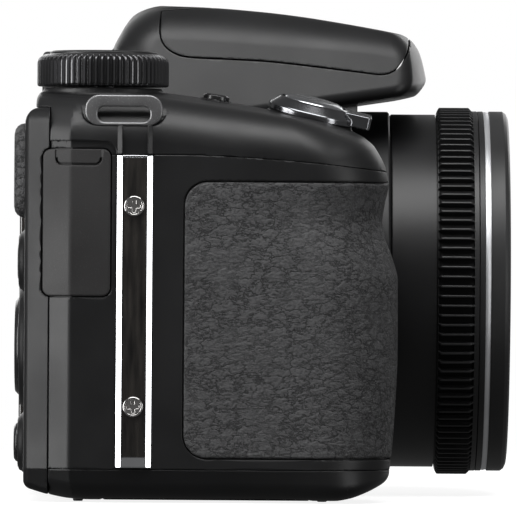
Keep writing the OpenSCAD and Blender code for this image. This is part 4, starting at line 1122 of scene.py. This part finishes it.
# direction marks on the pad: plain raised arrows
arrow = []
for k in range(4):
    a = k * math.pi / 2
    c, s = math.cos(a), math.sin(a)
    tri = [(-0.75, 6.2), (0.75, 6.2), (0.0, 7.4)]
    lo = [(-57 + u * c - w * s, 34.6, 29 + u * s + w * c) for u, w in tri]
    hi = [(p[0], 35.02, p[2]) for p in lo]
    v = np.array(lo + hi)
    arrow.append((v, [(0, 1, 2), (3, 5, 4), (0, 3, 4, 1), (1, 4, 5, 2), (2, 5, 3, 0)]))
solid("pad_arrows", join(arrow), M_SATIN, "nav_pad", (), sharp=20)

# ------------------------------------------------------------------ base
for k, (a, b) in enumerate(((-70, 22.6), (-66, -24.2), (33, 23), (30, -14.5))):
    prof = soften([(0, 0.75), (1.0, 0.75), (1.0, 0.3, 0.1), (0.95, -0.35, 0.1), (0.8, -0.5, 0.1), (0, -0.5)], 3)
    solid(f"foot_{k + 1}", turn(prof, at(a, b, 0), 48, closed=False), M_RUBBER, "body", ["feet"] if k == 0 else ())
thread = []
for k in range(10):
    thread += [(3.18, 0.55 + k * 0.55), (3.42, 0.82 + k * 0.55)]
bush = [(6.45, 0.02), (6.5, 0.2), (6.5, 2.05), (8, 2.05), (8, 3.4), (6.5, 3.4), (6.5, 7.2), (2.6, 7.2), (2.6, 6.05), (3.18, 6.05), *thread[::-1], (3.2, 0.35), (3.5, 0.02)]
solid("tripod_bush", turn(bush, at(0, 0, 0), 96), M_BRASS, "body", ["tripod_socket"], sharp=25)


def f_bdoor(x, y, z):
    d = rmax(rr(x, y, -78.4, -53.2, -21.7, 17.7, 1.0), np.maximum(z - 1.9, -z), 0.3)
    d = np.maximum(d, x + 53.9)
    barrel = rmax(np.hypot(x + 53.9, z - 0.95) - 0.95, np.abs(y + 2) - 19.7, 0.1)
    d = np.minimum(d, barrel)
    d = carve(d, np.hypot(x + 53.9, z - 0.95) - 0.45, 0.05)
    d = carve(d, np.maximum(rr(x, y, -77, -67.6, -5.4, 1.4, 0.5), z - 1.05), 0.15)
    for k in range(3):
        d = carve(d, np.maximum(rr(x, y, -64.5 + k * 1.6, -63.7 + k * 1.6, -9, 5, 0.39), z - 0.25), 0.1)
    return d


moulded("battery_door_moulding", f_bdoor, (-79, -22.4, -0.4), (-52.5, 18.4, 2.4), 0.25, 0.3, M_BODY, "battery_door", ["battery_door"])


# ------------------------------------------------------------------ small pieces
lamp = soften([(0, 20.35), (1.6, 20.3, 1), (2.4, 20.0, 0.3), (2.55, 19.7, 0.1), (2.55, 18.2), (0, 18.2)], 4)
L2 = LENS.copy()
L2[0, 3], L2[2, 3] = 38.2, 58.2
solid("autofocus_lamp", turn(lamp, L2, 72, closed=False), M_AMBER, "body", ["af_lamp"])
wheel = soften([(0, 16.35), (3.9, 16.35, 0.2), (4.3, 16.1, 0.2), (4.75, 15.8, 0.1), (4.75, 13.3, 0.1), (4.4, 12.85, 0.1), (1, 12.85), (1, 11.3), (0, 11.3)], 3)
solid("dioptre_wheel", turn(wheel, sideways(23.5, 80.5), 36 * 8, knurl(36, 0.35, 13.2, 15.9, 0.4), closed=False), M_SEMI, "dioptre_dial", ["dioptre_dial"], sharp=50)
fb = soften([(0, 29.4), (1.5, 29.45, 0.5), (2.05, 29.55, 0.3), (2.42, 29.2, 0.2), (2.45, 24.3), (1.6, 24.3), (1.6, 21.2), (3.1, 21.2), (3.1, 20), (0, 20)], 4)
solid("flash_release_button", turn(fb, sideways(-4, 79.7), 80, closed=False), M_SEMI, "flash_button", ["flash_button"])

pin = soften([(0, 13.0), (0.55, 13.0), (0.7, 13.15, 0.1), (0.7, 17.25, 0.1), (0.55, 17.4), (0, 17.4)], 3)
solid("flash_hinge_pins", join([turn(pin, sideways(2, 94.1, k), 40, closed=False) for k in (1, -1)]), M_STEEL, "body", ["flash_pins"])

# ------------------------------------------------------------------ CAD pieces whose shape is right
KEEP = {
    "lens_base": M_INNER, "rear_lens_group": M_GLASS, "image_sensor": M_BOARD, "main_board": M_BOARD, "battery": M_CELL, "battery_bay": M_INNER,
    "zoom_motor": M_STEEL, "door_pin": M_STEEL, "usb_socket": M_STEEL, "flash_head": M_REFLECT, "flash_window": M_WINDOW,
    "cam_ring": M_NYLON, "zoom_pinion": M_NYLON, "lcd_module": M_INNER, "base_screws": M_STEEL, "battery_latch": M_SEMI,
}
for node, mat in KEEP.items():
    me = NODES[node].data
    me.materials.clear()
    me.materials.append(mat)

# ------------------------------------------------------------------ stage, light, camera
sc = bpy.context.scene
sc.view_settings.view_transform = "Standard"
sc.view_settings.look = "None"
floor = bpy.data.meshes.new("studio_floor")
ring = [(0.36 * math.cos(k * math.pi / 48), 0.36 * math.sin(k * math.pi / 48), -0.00055) for k in range(96)]
floor.from_pydata(ring, [], [tuple(range(96))])
fm = bpy.data.materials.new("pale_floor")
fm.use_nodes = True
fn, fl = links(fm)
fp = fn["Principled BSDF"]
fp.inputs["Roughness"].default_value = 0.8
fp.inputs["Specular IOR Level"].default_value = 0.1
fp.inputs["Emission Color"].default_value = (1, 1, 1, 1)  # lit from below, so shadows under the camera stay light
fp.inputs["Emission Strength"].default_value = 0.86
ftc, fno, frp = fn.new("ShaderNodeTexCoord"), fn.new("ShaderNodeTexNoise"), fn.new("ShaderNodeValToRGB")
fno.inputs["Scale"].default_value = 3.0
frp.color_ramp.elements[0].color, frp.color_ramp.elements[1].color = (0.2, 0.2, 0.2, 1), (0.22, 0.22, 0.22, 1)
fl.new(ftc.outputs["Object"], fno.inputs["Vector"])
fl.new(fno.outputs["Fac"], frp.inputs["Fac"])
fl.new(frp.outputs["Color"], fp.inputs["Base Color"])
floor.materials.append(fm)
fo = bpy.data.objects.new("studio_floor", floor)
sc.collection.objects.link(fo)
fo.visible_glossy = fo.visible_diffuse = False

world = bpy.data.worlds.new("studio")
sc.world = world
world.use_nodes = True
wn, wl = world.node_tree.nodes, world.node_tree.links
bg = wn["Background"]
bg.inputs["Strength"].default_value = 1.0
wtc, wsep, wlp = wn.new("ShaderNodeTexCoord"), wn.new("ShaderNodeSeparateXYZ"), wn.new("ShaderNodeLightPath")
wl.new(wtc.outputs["Generated"], wsep.inputs["Vector"])
wmr = wn.new("ShaderNodeMapRange")  # dim room, darker below the horizon
wmr.interpolation_type = "SMOOTHSTEP"
wmr.inputs["From Min"].default_value, wmr.inputs["From Max"].default_value = -0.35, 0.15
wmr.inputs["To Min"].default_value, wmr.inputs["To Max"].default_value = 0.14, 0.18
wl.new(wsep.outputs["Z"], wmr.inputs["Value"])
wmx = wn.new("ShaderNodeMix")
wl.new(wlp.outputs["Is Camera Ray"], wmx.inputs["Factor"])
wbk = wn.new("ShaderNodeMapRange")  # pale backdrop behind the camera body
wbk.interpolation_type = "SMOOTHSTEP"
wbk.inputs["From Min"].default_value, wbk.inputs["From Max"].default_value = 0.955, 0.985
wbk.inputs["To Max"].default_value = 0.5
wl.new(wsep.outputs["X"], wbk.inputs["Value"])
wtop = wn.new("ShaderNodeMath")
wtop.operation = "MAXIMUM"
wl.new(wmr.outputs["Result"], wtop.inputs[0])
wl.new(wbk.outputs["Result"], wtop.inputs[1])
wl.new(wtop.outputs[0], wmx.inputs["A"])
wmx.inputs["B"].default_value = 1.0
wl.new(wmx.outputs["Result"], bg.inputs["Color"])


def area(name, az, el, dist, sx, sy, radiance, aim=(-0.04, -0.01, 0.05), colour=(1, 1, 1)):
    """Soft box in a direction from the object: azimuth from the grip side towards the rear, elevation, in degrees."""
    a, e = math.radians(az), math.radians(el)
    way = Vector((-math.cos(e) * math.cos(a), math.cos(e) * math.sin(a), math.sin(e)))
    d = bpy.data.lights.new(name, "AREA")
    d.shape, d.size, d.size_y, d.color = "RECTANGLE", sx, sy, colour
    d.energy = radiance * math.pi * sx * sy
    o = bpy.data.objects.new(name, d)
    o.location = Vector(aim) + way * dist
    o.rotation_mode = "QUATERNION"
    o.rotation_quaternion = (-way).to_track_quat("-Z", "Y")
    sc.collection.objects.link(o)
    return o


area("softbox_top", -4, 65, 1.0, 1.2, 0.56, 8.2)
area("softbox_rear", 64, 6, 1.0, 0.55, 0.9, 9.0)
area("strip_front", -57, 0, 1.0, 0.26, 0.7, 5.4)
area("softbox_far_rear", 158, 12, 1.1, 0.5, 0.6, 2.0)
area("softbox_far_front", -158, 12, 1.1, 0.5, 0.6, 2.0)

cam = bpy.data.cameras.new("photo_camera")
cam.sensor_width = 36.0
cam.lens = 36.0 * 1.7 / (517 * 0.2 * MM)
co = bpy.data.objects.new("photo_camera", cam)
sc.collection.objects.link(co)
ELEV = math.radians(0.0)
aim = Vector((0, -0.0117, 0.0462))
back = Vector((-math.cos(ELEV), 0, math.sin(ELEV)))
co.location = aim + back * 1.7
co.rotation_mode = "QUATERNION"
from mathutils import Quaternion
co.rotation_quaternion = Quaternion(-back, math.radians(-0.4)) @ (-back).to_track_quat("-Z", "Y")
cam.clip_start, cam.clip_end = 0.05, 50
sc.camera = co
